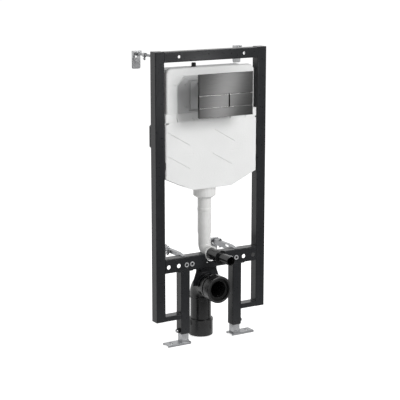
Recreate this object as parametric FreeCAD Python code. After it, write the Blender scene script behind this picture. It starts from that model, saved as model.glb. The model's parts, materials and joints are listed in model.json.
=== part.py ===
import FreeCAD, Part
import math
import os

from FreeCAD import Placement, Rotation, Vector

# In-wall support frame for a wall hung toilet, with its concealed cistern, flush pipe and waste bend.
# Lengths are in millimetres. While it is drawn, x is measured from the middle of the frame (+ to the
# right), y from the front face of the frame (+ towards the wall) and z from the floor. Each piece is
# then moved so that the origin is on the wall face of the upper left wall plate.

# Steel frame
FRAME_WIDTH = 500.0
POST_SIZE = 40.0
POST_WALL = 2.5
POST_HEIGHT = 1050.0
POST_BOTTOM = 107.0
TUBE_CORNER = 3.0
CAP_THICKNESS = 2.0
CAP_PLUG_DEPTH = 9.0
CAP_FIT = 0.2

TOP_RAIL_HEIGHT = 40.0
CROSS_RAIL_HEIGHT = 57.0
CROSS_RAIL_LIFT = 193.0
RAIL_DEPTH = 40.0
RAIL_GAUGE = 3.0
RAIL_LIP = 9.0
RAIL_BEND = 3.5

TOP_HOLE_SPACING = 292.0
TOP_HOLE_RADIUS = 6.0
STUD_HOLE_LIFT = 24.5
STUD_HOLE_RADIUS = 8.5
STUD_HOLE_SPACINGS = (300.0, 390.0)
INSERT_SPACINGS = (180.0, 230.0)
INSERT_BORE_RADIUS = 5.1
INSERT_BODY_RADIUS = 7.5
INSERT_FLANGE_RADIUS = 9.8
INSERT_FLANGE = 1.2
INSERT_LENGTH = 19.0
PILOT_HOLE_RADIUS = 3.2
PILOT_HOLE_X = 21.0
PILOT_HOLE_LIFT = 20.0

# Legs and adjustable feet
LEG_SPACING = 240.0
LEG_WALL = 2.5
LEG_END_DROP = 60.0
SADDLE_WIDTH = 66.0
SADDLE_TAB = 8.0
SADDLE_REAR_TAB = 2.0
SADDLE_GAUGE = 2.0
BAR_HEIGHT = 20.0
BAR_WALL = 2.0
GUIDE_FLANGE = 4.0
GUIDE_SLEEVE = 22.0
GUIDE_CHAMFER = 2.5
FOOT_TUBE_SIZE = 32.0
FOOT_TUBE_WALL = 2.5
FOOT_TUBE_LENGTH = 232.0
FOOT_RUNNING_GAP = 0.4
FOOT_PLATE_HEIGHT = 9.0
FOOT_PLATE_GAUGE = 4.0
FOOT_PLATE_DEPTH = 45.0
FOOT_PLATE_OUTER = 80.0
FOOT_PLATE_INNER = 24.0
FOOT_SLOT_OFFSET = 56.0
FOOT_SLOT_LENGTH = 24.0
FOOT_SLOT_RADIUS = 5.5
FOOT_TAB_HEIGHT = 9.0
FOOT_TAB_GAUGE = 3.0
LOCK_BOLT_LIFT = 9.0
LOCK_BOLT_RADIUS = 5.0
LOCK_WASHER_RADIUS = 9.5
LOCK_WASHER = 7.0
LOCK_HEAD_RADIUS = 7.5
LOCK_HEAD = 8.0

# Wall fixings
WALL_DISTANCE = 188.0
WALL_PLATE_WIDTH = 37.0
WALL_PLATE_HEIGHT = 70.0
WALL_PLATE_GAUGE = 3.0
WALL_PLATE_CORNER = 6.0
WALL_FLANGE_DEPTH = 14.0
WALL_HOLE_RADIUS = 4.5
WALL_HOLE_DROP = 23.0
WALL_BOSS = (7.5, 4.5)
WALL_BOSS_DROP = 38.5
WALL_BOSS_CHAMFER = 1.0
WALL_LIP_DROP = 9.0
UPPER_PLATE_DROP = 7.0
ROD_DROP = 11.0
ROD_RADIUS = 5.0
ROD_FIT = 0.3
THREAD_FIT = 0.05
ROD_END_GAP = 8.0
NUT_FLATS = 17.0
NUT_HEIGHT = 8.0
HOOK_BODY_RADIUS = 8.0
HOOK_PLACE = (110.0, 126.0)
HOOK_RADIUS = 3.5
HOOK_DROP = 17.0
HOOK_TIP = (-8.0, 2.0)
HOOK_KNUCKLE = 1.12
LOWER_PLATE_X = 121.5
STRUT_X = 121.0
STRUT_WIDTH = 16.0
STRUT_HEIGHT = 8.0
STRUT_DEPTH = 22.0
STRUT_GAUGE = 2.0
STRUT_FRONT = 3.0
STRUT_TAB_END = 20.0
STRUT_TAPER_END = 50.0
STRUT_REAR_TAPER = 20.0
STRUT_REAR_HEIGHT = 13.0
STRUT_FIT = 0.3
STRUT_SLOT_Y = (56.0, 82.0)
STRUT_SLOT_HEIGHT = 8.0
STRUT_SLOT_DROP = 5.0
STRUT_BOLT_X = 123.0
STRUT_TRAVEL = 34.0
STRUT_BOLT_Y = 137.0
STRUT_BOLT_RADIUS = 4.0
STRUT_BOLT_FLATS = 13.0
STRUT_BOLT_HEAD = 5.5
STRUT_WASHER = 2.0
STRUT_NUT = 6.0
STRUT_BOLT_TAIL = 8.0
TAB_SCREW_Y = 10.0
TAB_SCREW_RADIUS = 4.5
TAB_SCREW_HEAD = 2.8

# Cistern
SHELL_SIDE_GAP = 3.0
SHELL_WIDTH = FRAME_WIDTH - 2 * (POST_SIZE + SHELL_SIDE_GAP)
SHELL_WALL = 26.0
SHELL_DEPTH = 95.0
SHELL_CORNER = 8.0
LOWER_SHELL_BOTTOM = 620.0
LOWER_SHELL_SIDE = 673.0
SHELL_FLAT_WIDTH = 180.0
GROOVE_WIDTH = 2.8
GROOVE_DEPTH = 2.6
GROOVE_SLOPE = 30.0
GROOVE_STARTS = ((-203.0, 855.0), (-205.0, 765.0), (12.0, 849.0), (2.0, 757.0))
GROOVE_LENGTHS = (119.0, 122.0, 107.0, 104.0)
PAD_SIZE = (42.0, 5.0)
PAD_DEPTH = 0.8
PAD_PLACES = ((-104.0, 761.0), (102.0, 761.0), (104.0, 676.0))
SIDE_NOTCH = (3.0, 30.0, 40.0)
SIDE_NOTCH_Z = 722.0
PRY_NOTCH = (14.0, 12.0, 6.0)
SHELL_PARTING = 888.0
PARTING_GROOVE = 3.0
PARTING_DEPTH = 2.0
BAND_TOP = 921.0
BAND_STEP = 9.0
UPPER_SHELL_WIDTH = SHELL_WIDTH - 2 * BAND_STEP
UPPER_SHELL_TOP = 1093.0
UPPER_SHELL_FRONT = 7.0
UPPER_SHELL_FACE = 26.0
UPPER_SHELL_CORNER = 24.0
TANK_WIDTH = SHELL_WIDTH - 2 * SHELL_WALL
TANK_BACK = 125.0
TANK_BOTTOM = 640.0
TANK_TOP = 1086.0
TANK_CORNER = 12.0
TANK_WALL = 4.0
TANK_TAPER = 0.45
RIB_SPACING = 64.0
RIB_WIDTH = 18.0
RIB_DEPTH = 5.0
FOAM_FIT = 0.3
RECESS_MOUTH = (160.0, 891.0, 1070.0, 31.6, 44.0)
RECESS_FLOOR = (144.0, 919.0, 1055.0, 28.0, 31.0)
RECESS_LINES = ((1067.0, 132.0, 188.0), (1029.0, 158.0, 195.0))
LEDGE_NOTCH = (80.0, 6.0, 12.0, 4.5)
SERVICE_FACE = 16.0
SERVICE_RIM = 3.0
SERVICE_RIM_HEIGHT = 1.8
SERVICE_BOSS_RADIUS = 5.0
SERVICE_SCREW_RADIUS = 1.6
SERVICE_SCREW_DEPTH = 6.0
SERVICE_BOSS_PLACE = (14.0, 16.0)
HOUSING_GAP = (8.0, 6.0)
HOUSING_STEP = 1.0
SERVICE_OPENING = (190.0, 118.0)
SERVICE_OPENING_Z = 985.0
MECHANISM_FACE = 21.0
RIB_END_GAP = (70.0, 60.0)
TANK_STRAP_BOTTOM = 791.0
TANK_STRAP_TOP = 881.0
TANK_STRAP_DEPTH = 10.0
TANK_STRAP_CORNER = 6.0
KNOB_X = -47.0
KNOB_Y = 60.0
KNOB_RADIUS = 11.0
KNOB_HEIGHT = 20.0
KNOB_FLANGE = 5.0
KNOB_STEP = 2.0

# Flush plate, which stands out in front of the cistern on two threaded rods
PLATE_WIDTH = 240.0
PLATE_BOTTOM = 912.0
PLATE_TOP = 1078.0
PLATE_FACE_Y = -103.0
PANEL_THICKNESS = 5.0
CARRIER_DEPTH = 8.0
CARRIER_INSET = 1.5
CARRIER_WEB = 3.0
BUTTON_BOTTOM = 948.0
BUTTON_TOP = 998.0
BUTTON_GAP = 1.5
BUTTON_SPLIT_X = 13.0
BUTTON_SPLIT_GAP = 4.0
BUTTON_THICKNESS = 3.5
BUTTON_TRAVEL = 4.0
PUSH_ROD_RADIUS = 4.0
PUSH_ROD_GAP = 0.4
FIXING_ROD_RADIUS = 3.0
FIXING_ROD_X = 55.0
FIXING_ROD_Z = 1030.0
HALF_ROD_X = 70.0

# Flush pipe
FLUSH_Y = 57.0
FLUSH_Z = 355.0
FLUSH_PIPE_RADIUS = 27.5
FLUSH_BEND_RADIUS = 25.2
FLUSH_WALL = 2.5
FLUSH_JOINT_Z = 427.0
PIPE_BEAD_Z = 520.0
PIPE_BEAD_LENGTH = 11.0
PIPE_BEAD = 1.2
FLUSH_TURN = 34.0
OUTLET_RADIUS = 45.0
OUTLET_BOTTOM = 572.0
OUTLET_TAPER = 10.0
RIM_RADIUS = 29.0
RIM_LENGTH = 9.0
RIM_FRONT = 4.0
SLEEVE_RADIUS = 22.5
SLEEVE_WALL = 3.0
SLEEVE_NOSE_RADIUS = 18.5
SLEEVE_NOSE_WALL = 2.5
SLEEVE_NOSE_CHAMFER = 1.0
SLEEVE_FRONT = -141.0
SLEEVE_INSIDE = 18.0
SLEEVE_RING_RADIUS = 28.0
SLEEVE_RING = (-72.0, -48.0)
CLIP_GAUGE = 2.0
CLIP_PLACE = (25.0, 60.0)
CLIP_HEIGHT = 16.0
CLIP_DROP = 5.0
CLIP_TONGUE = 10.0
CLIP_SCREW_X = 47.0

# Waste bend
WASTE_Y = 85.0
WASTE_Z = 220.0
WASTE_PIPE_RADIUS = 42.0
WASTE_BEND_RADIUS = 44.0
WASTE_WALL = 3.0
WASTE_TURN = 48.0
ELBOW_BEAD = (2.0, 9.0, 1.5)
WASTE_JOINT_Z = 158.0
PIPE_FIT = 0.3
SOCKET_RADIUS = 49.0
SOCKET_BOTTOM = 4.0
SOCKET_TOP = 71.0
SOCKET_LUG = (6.0, 14.0, 23.0)
SOCKET_SEAT = 24.0
SOCKET_BEAD = 10.0
INLET_FRONT = -59.0
INLET_RADIUS = 54.0
INLET_BEVEL = 1.5
INLET_CUP = 40.0
INLET_LENGTH = 44.0
INLET_DEPTH = 34.0
INLET_BODY_RADIUS = 50.0
INLET_BORE_RADIUS = 46.0
INLET_LIP_RADIUS = 33.5
INLET_LIP_DEPTH = 11.0
SEAL_WALL = 2.5
SEAL_LIP = 10.0
BRACKET_WIDTH = 95.0
BRACKET_GAUGE = 3.0
BRACKET_FLARE = 62.0
BRACKET_FLARE_DROP = 30.0
BRACKET_LAP = 8.5
BRACKET_RIB = (64.0, 4.0, 4.0)
ARCH_DEPTH = 16.0
ARCH_GAUGE = 5.0
RING_RADIUS = 54.0
RING_LENGTH = 10.0
RING_CHAMFER = 1.2
RING_SPLIT = 1.2
NOTCH_CLEARANCE = 1.5

# Places worked out from the sizes above
HALF_FRAME = FRAME_WIDTH / 2
POST_X = HALF_FRAME - POST_SIZE / 2
POST_INNER_X = HALF_FRAME - POST_SIZE
MID_DEPTH = POST_SIZE / 2
POST_TOP = POST_BOTTOM + POST_HEIGHT
TOP_RAIL_BOTTOM = POST_TOP - TOP_RAIL_HEIGHT
CROSS_RAIL_BOTTOM = POST_BOTTOM + CROSS_RAIL_LIFT
CROSS_RAIL_TOP = CROSS_RAIL_BOTTOM + CROSS_RAIL_HEIGHT
STUD_HOLE_Z = CROSS_RAIL_BOTTOM + STUD_HOLE_LIFT
LEG_X = LEG_SPACING / 2
LEG_OUTER_X = LEG_X + POST_SIZE / 2
LEG_BOTTOM = POST_BOTTOM - LEG_END_DROP
LEG_TOP = CROSS_RAIL_BOTTOM - SADDLE_GAUGE
LOCK_BOLT_Z = LEG_BOTTOM + LOCK_BOLT_LIFT
UPPER_PLATE_TOP = POST_TOP - UPPER_PLATE_DROP
UPPER_PLATE_MIDDLE = UPPER_PLATE_TOP - WALL_PLATE_HEIGHT / 2
ROD_Z = UPPER_PLATE_TOP - ROD_DROP
STRUT_TOP = CROSS_RAIL_TOP + STRUT_HEIGHT
LOWER_PLATE_TOP = STRUT_TOP + STRUT_FIT + WALL_PLATE_GAUGE
WALL_FLANGE_FRONT = WALL_DISTANCE - WALL_FLANGE_DEPTH
ORIGIN = Vector(-POST_X, WALL_DISTANCE, UPPER_PLATE_MIDDLE)

X_AXIS = Vector(1, 0, 0)
Y_AXIS = Vector(0, 1, 0)
Z_AXIS = Vector(0, 0, 1)


def block(x, y, z):
    """A box from its (low, high) limits on each axis."""
    return Part.makeBox(x[1] - x[0], y[1] - y[0], z[1] - z[0], Vector(x[0], y[0], z[0]))


def rod(start, end, radius):
    """A round bar between two points."""
    run = Vector(*end) - Vector(*start)
    return Part.makeCylinder(radius, run.Length, Vector(*start), run)


def hexagon(start, end, flats):
    """A hexagonal bar between two points, measured across its flats."""
    run = Vector(*end) - Vector(*start)
    corner = flats / math.sqrt(3)
    points = [Vector(corner * math.cos(math.radians(60 * i)), corner * math.sin(math.radians(60 * i)), 0)
              for i in range(6)]
    bar = Part.Face(Part.makePolygon(points + points[:1])).extrude(Vector(0, 0, run.Length))
    bar.Placement = Placement(Vector(*start), Rotation(Z_AXIS, run))
    return bar


def edges_along(shape, axis, test=None):
    """The straight edges parallel to an axis, or those of them that pass a test on their middle."""
    found = []
    for edge in shape.Edges:
        if edge.Curve.TypeId != "Part::GeomLine":
            continue
        run = edge.Vertexes[-1].Point - edge.Vertexes[0].Point
        middle = edge.CenterOfMass
        if run.cross(axis).Length < 1e-6 * run.Length and (test is None or test(middle)):
            found.append(edge)
    return found


def square_tube(x, y, z, axis, wall, corner=TUBE_CORNER):
    """A hollow section with rounded corners, open at both ends along the axis."""
    outer = block(x, y, z)
    outer = outer.makeFillet(corner, edges_along(outer, axis))
    limits = []
    for limit, direction in zip((x, y, z), (X_AXIS, Y_AXIS, Z_AXIS)):
        step = -1.0 if direction == axis else wall
        limits.append((limit[0] + step, limit[1] - step))
    inner = block(*limits)
    inner = inner.makeFillet(max(corner - wall, 0.5), edges_along(inner, axis))
    return outer.cut(inner)


def channel(length, z, depth, gauge, lip):
    """A channel along x, open towards the wall; a lip deeper than the gauge turns its free edges in."""
    low, high = z
    half = length / 2
    outer = block((-half, half), (0, depth), z)
    outer = outer.makeFillet(RAIL_BEND, edges_along(outer, X_AXIS, lambda p: p.y < 1 or lip > gauge))
    inner = block((-half - 1, half + 1), (gauge, depth - gauge), (low + gauge, high - gauge))
    mouth = block((-half - 1, half + 1), (depth - gauge - 1, depth + 1), (low + lip, high - lip))
    return outer.cut(inner).cut(mouth)


def slot(centre, length, radius, axis, run, depth):
    """A round-ended slot, cut through along one axis and long along another."""
    centre = Vector(*centre)
    half = run * (length / 2 - radius)
    start = centre - axis * (depth / 2)
    ends = [Part.makeCylinder(radius, depth, start + half * side, axis) for side in (-1, 1)]
    across = axis.cross(run)
    corner = start - half - across * radius
    width = across * 2 * radius
    points = [corner, corner + half * 2, corner + half * 2 + width, corner + width]
    middle = Part.Face(Part.makePolygon(points + points[:1])).extrude(axis * depth)
    return ends[0].fuse(ends[1]).fuse(middle).removeSplitter()


def revolved(profile, centre, axis):
    """A solid of revolution from (distance along the axis, radius) pairs."""
    side = X_AXIS if axis != X_AXIS else Z_AXIS
    points = [Vector(*centre) + axis * along + side * radius for along, radius in profile]
    face = Part.Face(Part.makePolygon(points + points[:1]))
    return face.revolve(Vector(*centre), axis, 360)


def bent_pipe(radius, top, corner, front, turn):
    """A solid pipe from a top point down to a corner and forward to a front point, with one round bend."""
    top, corner, front = Vector(*top), Vector(*corner), Vector(*front)
    up = (top - corner).normalize()
    out = (front - corner).normalize()
    first, last = corner + up * turn, corner + out * turn
    middle = corner + (up + out) * (turn * (1 - math.sqrt(0.5)))
    path = Part.Wire([Part.makeLine(top, first), Part.Arc(first, middle, last).toShape(),
                      Part.makeLine(last, front)])
    ring = Part.Wire([Part.makeCircle(radius, top, up * -1)])
    return path.makePipeShell([ring], True, True)


def mirrored(shape):
    """The same piece on the other side of the frame."""
    return shape.mirror(Vector(0, 0, 0), X_AXIS)


def save(name, shape):
    """Move a piece to the part's own origin and write it."""
    placed = shape.copy()
    placed.translate(ORIGIN * -1)
    placed.exportStep("parts/" + name + ".step")


def save_pair(name, right):
    """Write a right hand piece and its mirror image."""
    save("right_" + name, right)
    save("left_" + name, mirrored(right))


def save_both(name, right):
    """Write a piece and its mirror image as one node."""
    save(name, Part.makeCompound([mirrored(right), right]))


def make_frame():
    """Posts, rails, legs, bars and the plastic ends."""
    post_x = (POST_INNER_X, HALF_FRAME)
    post = square_tube(post_x, (0, POST_SIZE), (POST_BOTTOM, POST_TOP), Z_AXIS, POST_WALL)
    post = post.cut(rod((POST_X, POST_SIZE / 2, ROD_Z), (POST_X, POST_SIZE + 1, ROD_Z), ROD_RADIUS + 0.3))
    save_pair("post", post)
    save_both("post_caps", post_cap())

    top_rail = channel(2 * POST_INNER_X, (TOP_RAIL_BOTTOM, POST_TOP), RAIL_DEPTH, RAIL_GAUGE, RAIL_LIP)
    hole_z = TOP_RAIL_BOTTOM + TOP_RAIL_HEIGHT / 2
    for side in (-1, 1):
        hole_x = side * TOP_HOLE_SPACING / 2
        top_rail = top_rail.cut(rod((hole_x, -1, hole_z), (hole_x, RAIL_GAUGE + 1, hole_z), TOP_HOLE_RADIUS))
    save("top_rail", top_rail)
    save("cross_rail", cross_rail())
    save("stud_inserts", stud_inserts())
    save_both("leg_saddles", leg_saddle())

    leg_x = (LEG_X - POST_SIZE / 2, LEG_OUTER_X)
    leg = square_tube(leg_x, (0, POST_SIZE), (LEG_BOTTOM, LEG_TOP), Z_AXIS, LEG_WALL)
    bolt_end = (LEG_OUTER_X + 1, MID_DEPTH, LOCK_BOLT_Z)
    leg = leg.cut(rod((LEG_X, MID_DEPTH, LOCK_BOLT_Z), bolt_end, LOCK_BOLT_RADIUS))
    save_pair("leg", leg)
    save_both("leg_guides", leg_guide())
    bar = square_tube((LEG_OUTER_X, POST_INNER_X), (0, POST_SIZE), (POST_BOTTOM, POST_BOTTOM + BAR_HEIGHT),
                      X_AXIS, BAR_WALL, BAR_WALL)
    save_both("bottom_bars", bar)


def post_cap():
    """Domed plastic plug in the top of a post."""
    top = POST_TOP + CAP_THICKNESS
    cap = block((POST_INNER_X, HALF_FRAME), (0, POST_SIZE), (POST_TOP, top))
    cap = cap.makeFillet(TUBE_CORNER, edges_along(cap, Z_AXIS))
    cap = cap.makeChamfer(1.0, [edge for edge in cap.Edges if edge.CenterOfMass.z > top - 0.01])
    inner = POST_WALL + CAP_FIT
    plug = block((POST_INNER_X + inner, HALF_FRAME - inner), (inner, POST_SIZE - inner),
                 (POST_TOP - CAP_PLUG_DEPTH, POST_TOP))
    return cap.fuse(plug).removeSplitter()


def cross_rail():
    """The plain channel that carries the toilet's studs, notched for the flush bend."""
    rail = channel(2 * POST_INNER_X, (CROSS_RAIL_BOTTOM, CROSS_RAIL_TOP), RAIL_DEPTH, RAIL_GAUGE, RAIL_GAUGE)
    holes = [(spacing / 2, STUD_HOLE_RADIUS) for spacing in STUD_HOLE_SPACINGS]
    holes += [(spacing / 2, INSERT_BODY_RADIUS) for spacing in INSERT_SPACINGS]
    for hole_x, radius in holes:
        for side in (-1, 1):
            x = side * hole_x
            rail = rail.cut(rod((x, -1, STUD_HOLE_Z), (x, RAIL_GAUGE + 1, STUD_HOLE_Z), radius))
    pilot_z = CROSS_RAIL_BOTTOM + PILOT_HOLE_LIFT
    for x in (-PILOT_HOLE_X, PILOT_HOLE_X):
        rail = rail.cut(rod((x, -1, pilot_z), (x, RAIL_GAUGE + 1, pilot_z), PILOT_HOLE_RADIUS))
    half = RIM_RADIUS + NOTCH_CLEARANCE
    notch = rod((0, -1, FLUSH_Z), (0, RAIL_DEPTH + 1, FLUSH_Z), half)
    notch = notch.fuse(block((-half, half), (-1, RAIL_DEPTH + 1), (FLUSH_Z, FLUSH_Z + half)))
    return rail.cut(notch)


def stud_inserts():
    """Flanged threaded inserts for the toilet's fixing studs."""
    solids = []
    for spacing in INSERT_SPACINGS:
        for side in (-1, 1):
            x = side * spacing / 2
            body = rod((x, 0, STUD_HOLE_Z), (x, INSERT_LENGTH, STUD_HOLE_Z), INSERT_BODY_RADIUS)
            flange = rod((x, -INSERT_FLANGE, STUD_HOLE_Z), (x, 0, STUD_HOLE_Z), INSERT_FLANGE_RADIUS)
            bore = rod((x, -INSERT_FLANGE - 1, STUD_HOLE_Z), (x, INSERT_LENGTH + 1, STUD_HOLE_Z),
                       INSERT_BORE_RADIUS)
            solids.append(body.fuse(flange).removeSplitter().cut(bore))
    return Part.makeCompound(solids)


def leg_saddle():
    """Folded sheet under the cross rail that joins a leg to it."""
    x = (LEG_X - SADDLE_WIDTH / 2, LEG_X + SADDLE_WIDTH / 2)
    y = (-SADDLE_GAUGE, RAIL_DEPTH + SADDLE_GAUGE)
    z = (LEG_TOP, CROSS_RAIL_BOTTOM + SADDLE_TAB)
    sheet = block(x, y, z)
    sheet = sheet.makeFillet(SADDLE_GAUGE, edges_along(sheet, X_AXIS, lambda p: p.z < LEG_TOP + 0.1))
    across = (x[0] - 1, x[1] + 1)
    seat = block(across, (0, RAIL_DEPTH), (CROSS_RAIL_BOTTOM, z[1] + 1))
    rear = block(across, (RAIL_DEPTH - 1, y[1] + 1), (CROSS_RAIL_BOTTOM + SADDLE_REAR_TAB, z[1] + 1))
    return sheet.cut([seat, rear])


def leg_guide():
    """Plastic bush at the bottom of a leg, in which the foot tube slides."""
    x = (LEG_X - POST_SIZE / 2, LEG_OUTER_X)
    flange = block(x, (0, POST_SIZE), (LEG_BOTTOM - GUIDE_FLANGE, LEG_BOTTOM))
    flange = flange.makeFillet(TUBE_CORNER, edges_along(flange, Z_AXIS))
    low = LEG_BOTTOM - GUIDE_FLANGE
    flange = flange.makeChamfer(GUIDE_CHAMFER, [e for e in flange.Edges if e.CenterOfMass.z < low + 0.01])
    sleeve = block((x[0] + LEG_WALL, x[1] - LEG_WALL), (LEG_WALL, POST_SIZE - LEG_WALL),
                   (LEG_BOTTOM, LEG_BOTTOM + GUIDE_SLEEVE))
    half = FOOT_TUBE_SIZE / 2 + FOOT_RUNNING_GAP
    bore = block((LEG_X - half, LEG_X + half), (MID_DEPTH - half, MID_DEPTH + half),
                 (low - 1, LEG_BOTTOM + GUIDE_SLEEVE + 1))
    guide = flange.fuse(sleeve).removeSplitter().cut(bore)
    return guide.cut(rod((LEG_X, MID_DEPTH, LOCK_BOLT_Z), (LEG_OUTER_X, MID_DEPTH, LOCK_BOLT_Z),
                         LOCK_BOLT_RADIUS + 0.2))


def make_feet():
    """Sliding feet with their floor plates, and the bolts that lock them."""
    half = FOOT_TUBE_SIZE / 2
    x, y = (LEG_X - half, LEG_X + half), (MID_DEPTH - half, MID_DEPTH + half)
    z = (FOOT_PLATE_HEIGHT, FOOT_PLATE_HEIGHT + FOOT_TUBE_LENGTH)
    tube = square_tube(x, y, z, Z_AXIS, FOOT_TUBE_WALL, 2.0)
    save_pair("foot_tube", tube)
    save_pair("foot_plate", foot_plate())

    start = (LEG_X + half + ROD_FIT, MID_DEPTH, LOCK_BOLT_Z)
    face = (LEG_OUTER_X, MID_DEPTH, LOCK_BOLT_Z)
    washer_end = (LEG_OUTER_X + LOCK_WASHER, MID_DEPTH, LOCK_BOLT_Z)
    shank = rod(start, washer_end, LOCK_BOLT_RADIUS - THREAD_FIT)
    washer = rod(face, washer_end, LOCK_WASHER_RADIUS).cut(rod(face, washer_end, LOCK_BOLT_RADIUS))
    profile = [(0, 0), (0, LOCK_HEAD_RADIUS), (LOCK_HEAD * 0.55, LOCK_HEAD_RADIUS),
               (LOCK_HEAD * 0.88, LOCK_HEAD_RADIUS * 0.7), (LOCK_HEAD, LOCK_HEAD_RADIUS * 0.25),
               (LOCK_HEAD, 0)]
    head = revolved(profile, washer_end, X_AXIS)
    save_both("lock_bolts", shank.fuse(head).removeSplitter())
    save_both("lock_washers", washer)


def foot_plate():
    """Pressed floor plate with turned down edges, a floor slot and a tab in front of the tube."""
    x = (LEG_X - FOOT_PLATE_INNER, LEG_X + FOOT_PLATE_OUTER)
    y = (MID_DEPTH - FOOT_PLATE_DEPTH / 2, MID_DEPTH + FOOT_PLATE_DEPTH / 2)
    plate = block(x, y, (0, FOOT_PLATE_HEIGHT))
    plate = plate.makeFillet(2.0, edges_along(plate, X_AXIS, lambda p: p.z > FOOT_PLATE_HEIGHT - 0.1))
    gauge = FOOT_PLATE_GAUGE
    under = (-1, FOOT_PLATE_HEIGHT - gauge)
    plate = plate.cut(block((x[0] - 1, x[1] + 1), (y[0] + gauge, y[1] - gauge), under))
    centre = (LEG_X + FOOT_SLOT_OFFSET, MID_DEPTH, FOOT_PLATE_HEIGHT)
    plate = plate.cut(slot(centre, FOOT_SLOT_LENGTH, FOOT_SLOT_RADIUS, Z_AXIS, Y_AXIS, 30))
    half = FOOT_TUBE_SIZE / 2
    front = MID_DEPTH - half
    tab = block((LEG_X - half, LEG_X + half), (front - FOOT_TAB_GAUGE, front),
                (FOOT_PLATE_HEIGHT - 1, FOOT_PLATE_HEIGHT + FOOT_TAB_HEIGHT))
    return plate.fuse(tab).removeSplitter()


def wall_plate(centre_x, top, passage):
    """Pressed wall plate: a top flange with a lip, a turned side, and a fixing hole over a round boss."""
    half = WALL_PLATE_WIDTH / 2
    x = (centre_x - half, centre_x + half)
    face = WALL_DISTANCE - WALL_PLATE_GAUGE
    bottom = top - WALL_PLATE_HEIGHT
    plate = block(x, (face, WALL_DISTANCE), (bottom, top))
    plate = plate.makeFillet(WALL_PLATE_CORNER, edges_along(plate, Y_AXIS, lambda p: p.z < bottom + 0.1))
    flange = block(x, (WALL_FLANGE_FRONT, face), (top - WALL_PLATE_GAUGE, top))
    lip = block(x, (WALL_FLANGE_FRONT, WALL_FLANGE_FRONT + WALL_PLATE_GAUGE), (top - WALL_LIP_DROP, top))
    under, front = top - WALL_PLATE_GAUGE, WALL_FLANGE_FRONT
    points = [Vector(x[0], face, under), Vector(x[0], front, under),
              Vector(x[0], front, top - WALL_LIP_DROP), Vector(x[0], face, top - WALL_PLATE_HEIGHT / 2)]
    side = Part.Face(Part.makePolygon(points + points[:1])).extrude(Vector(WALL_PLATE_GAUGE, 0, 0))
    plate = plate.fuse([flange, lip, side]).removeSplitter()
    plate = plate.makeFillet(WALL_PLATE_GAUGE * 0.8, edges_along(plate, X_AXIS, lambda p: p.z > top - 0.1))
    hole_z = top - WALL_HOLE_DROP
    hole = rod((centre_x, face - 1, hole_z), (centre_x, WALL_DISTANCE + 1, hole_z), WALL_HOLE_RADIUS)
    radius, proud = WALL_BOSS
    boss_z = top - WALL_BOSS_DROP
    boss = rod((centre_x, face - proud, boss_z), (centre_x, face + 1, boss_z), radius)
    rim = [edge for edge in boss.Edges if edge.CenterOfMass.y < face - proud + 0.01]
    boss = boss.makeChamfer(WALL_BOSS_CHAMFER, rim)
    return plate.fuse(boss).removeSplitter().cut([hole, passage])


def make_wall_fixings():
    """Wall plates on threaded rods at the top, and on pressed struts above the cross rail."""
    lip = (WALL_FLANGE_FRONT - 1, WALL_FLANGE_FRONT + WALL_PLATE_GAUGE + 1)
    clear = ROD_RADIUS + ROD_FIT
    notch = block((POST_X - clear, POST_X + clear), lip, (ROD_Z - 2 * ROD_RADIUS, ROD_Z))
    notch = notch.fuse(rod((POST_X, lip[0], ROD_Z), (POST_X, lip[1], ROD_Z), clear))
    save("right_upper_wall_plate", wall_plate(POST_X, UPPER_PLATE_TOP, notch))
    save("left_upper_wall_plate", wall_plate(-POST_X, UPPER_PLATE_TOP, mirrored(notch)))
    rod_back = WALL_DISTANCE - WALL_PLATE_GAUGE - ROD_END_GAP
    rod_front = POST_SIZE - POST_WALL - NUT_HEIGHT
    save_both("wall_rods", rod((POST_X, rod_front, ROD_Z), (POST_X, rod_back, ROD_Z), ROD_RADIUS))
    save_both("rod_nuts", Part.makeCompound([rod_nut(POST_SIZE), rod_nut(WALL_FLANGE_FRONT - NUT_HEIGHT)]))
    save_both("rod_hooks", rod_hook())

    reach = STRUT_WIDTH / 2 + STRUT_FIT
    gap_z = (LOWER_PLATE_TOP - WALL_PLATE_HEIGHT, STRUT_TOP + STRUT_FIT)
    gap = block((STRUT_X - reach, STRUT_X + reach), lip, gap_z)
    lower = [wall_plate(-LOWER_PLATE_X, LOWER_PLATE_TOP, mirrored(gap)),
             wall_plate(LOWER_PLATE_X, LOWER_PLATE_TOP, gap)]
    save("lower_wall_plates", Part.makeCompound(lower))
    save_both("struts", strut())
    save_both("strut_bolts", strut_bolt())


def rod_nut(y):
    """A hexagon nut on a wall rod."""
    start, end = (POST_X, y, ROD_Z), (POST_X, y + NUT_HEIGHT, ROD_Z)
    low, high = NUT_FLATS * 0.5, NUT_FLATS * 0.6
    rounded = revolved([(0, 0), (0, low), (NUT_HEIGHT * 0.12, high), (NUT_HEIGHT * 0.88, high),
                        (NUT_HEIGHT, low), (NUT_HEIGHT, 0)], start, Y_AXIS)
    rounded.rotate(Vector(*start), Y_AXIS, 45)
    bore = rod((POST_X, y - 1, ROD_Z), (POST_X, y + NUT_HEIGHT + 1, ROD_Z), ROD_RADIUS + THREAD_FIT)
    return hexagon(start, end, NUT_FLATS).common(rounded).cut(bore)


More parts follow.
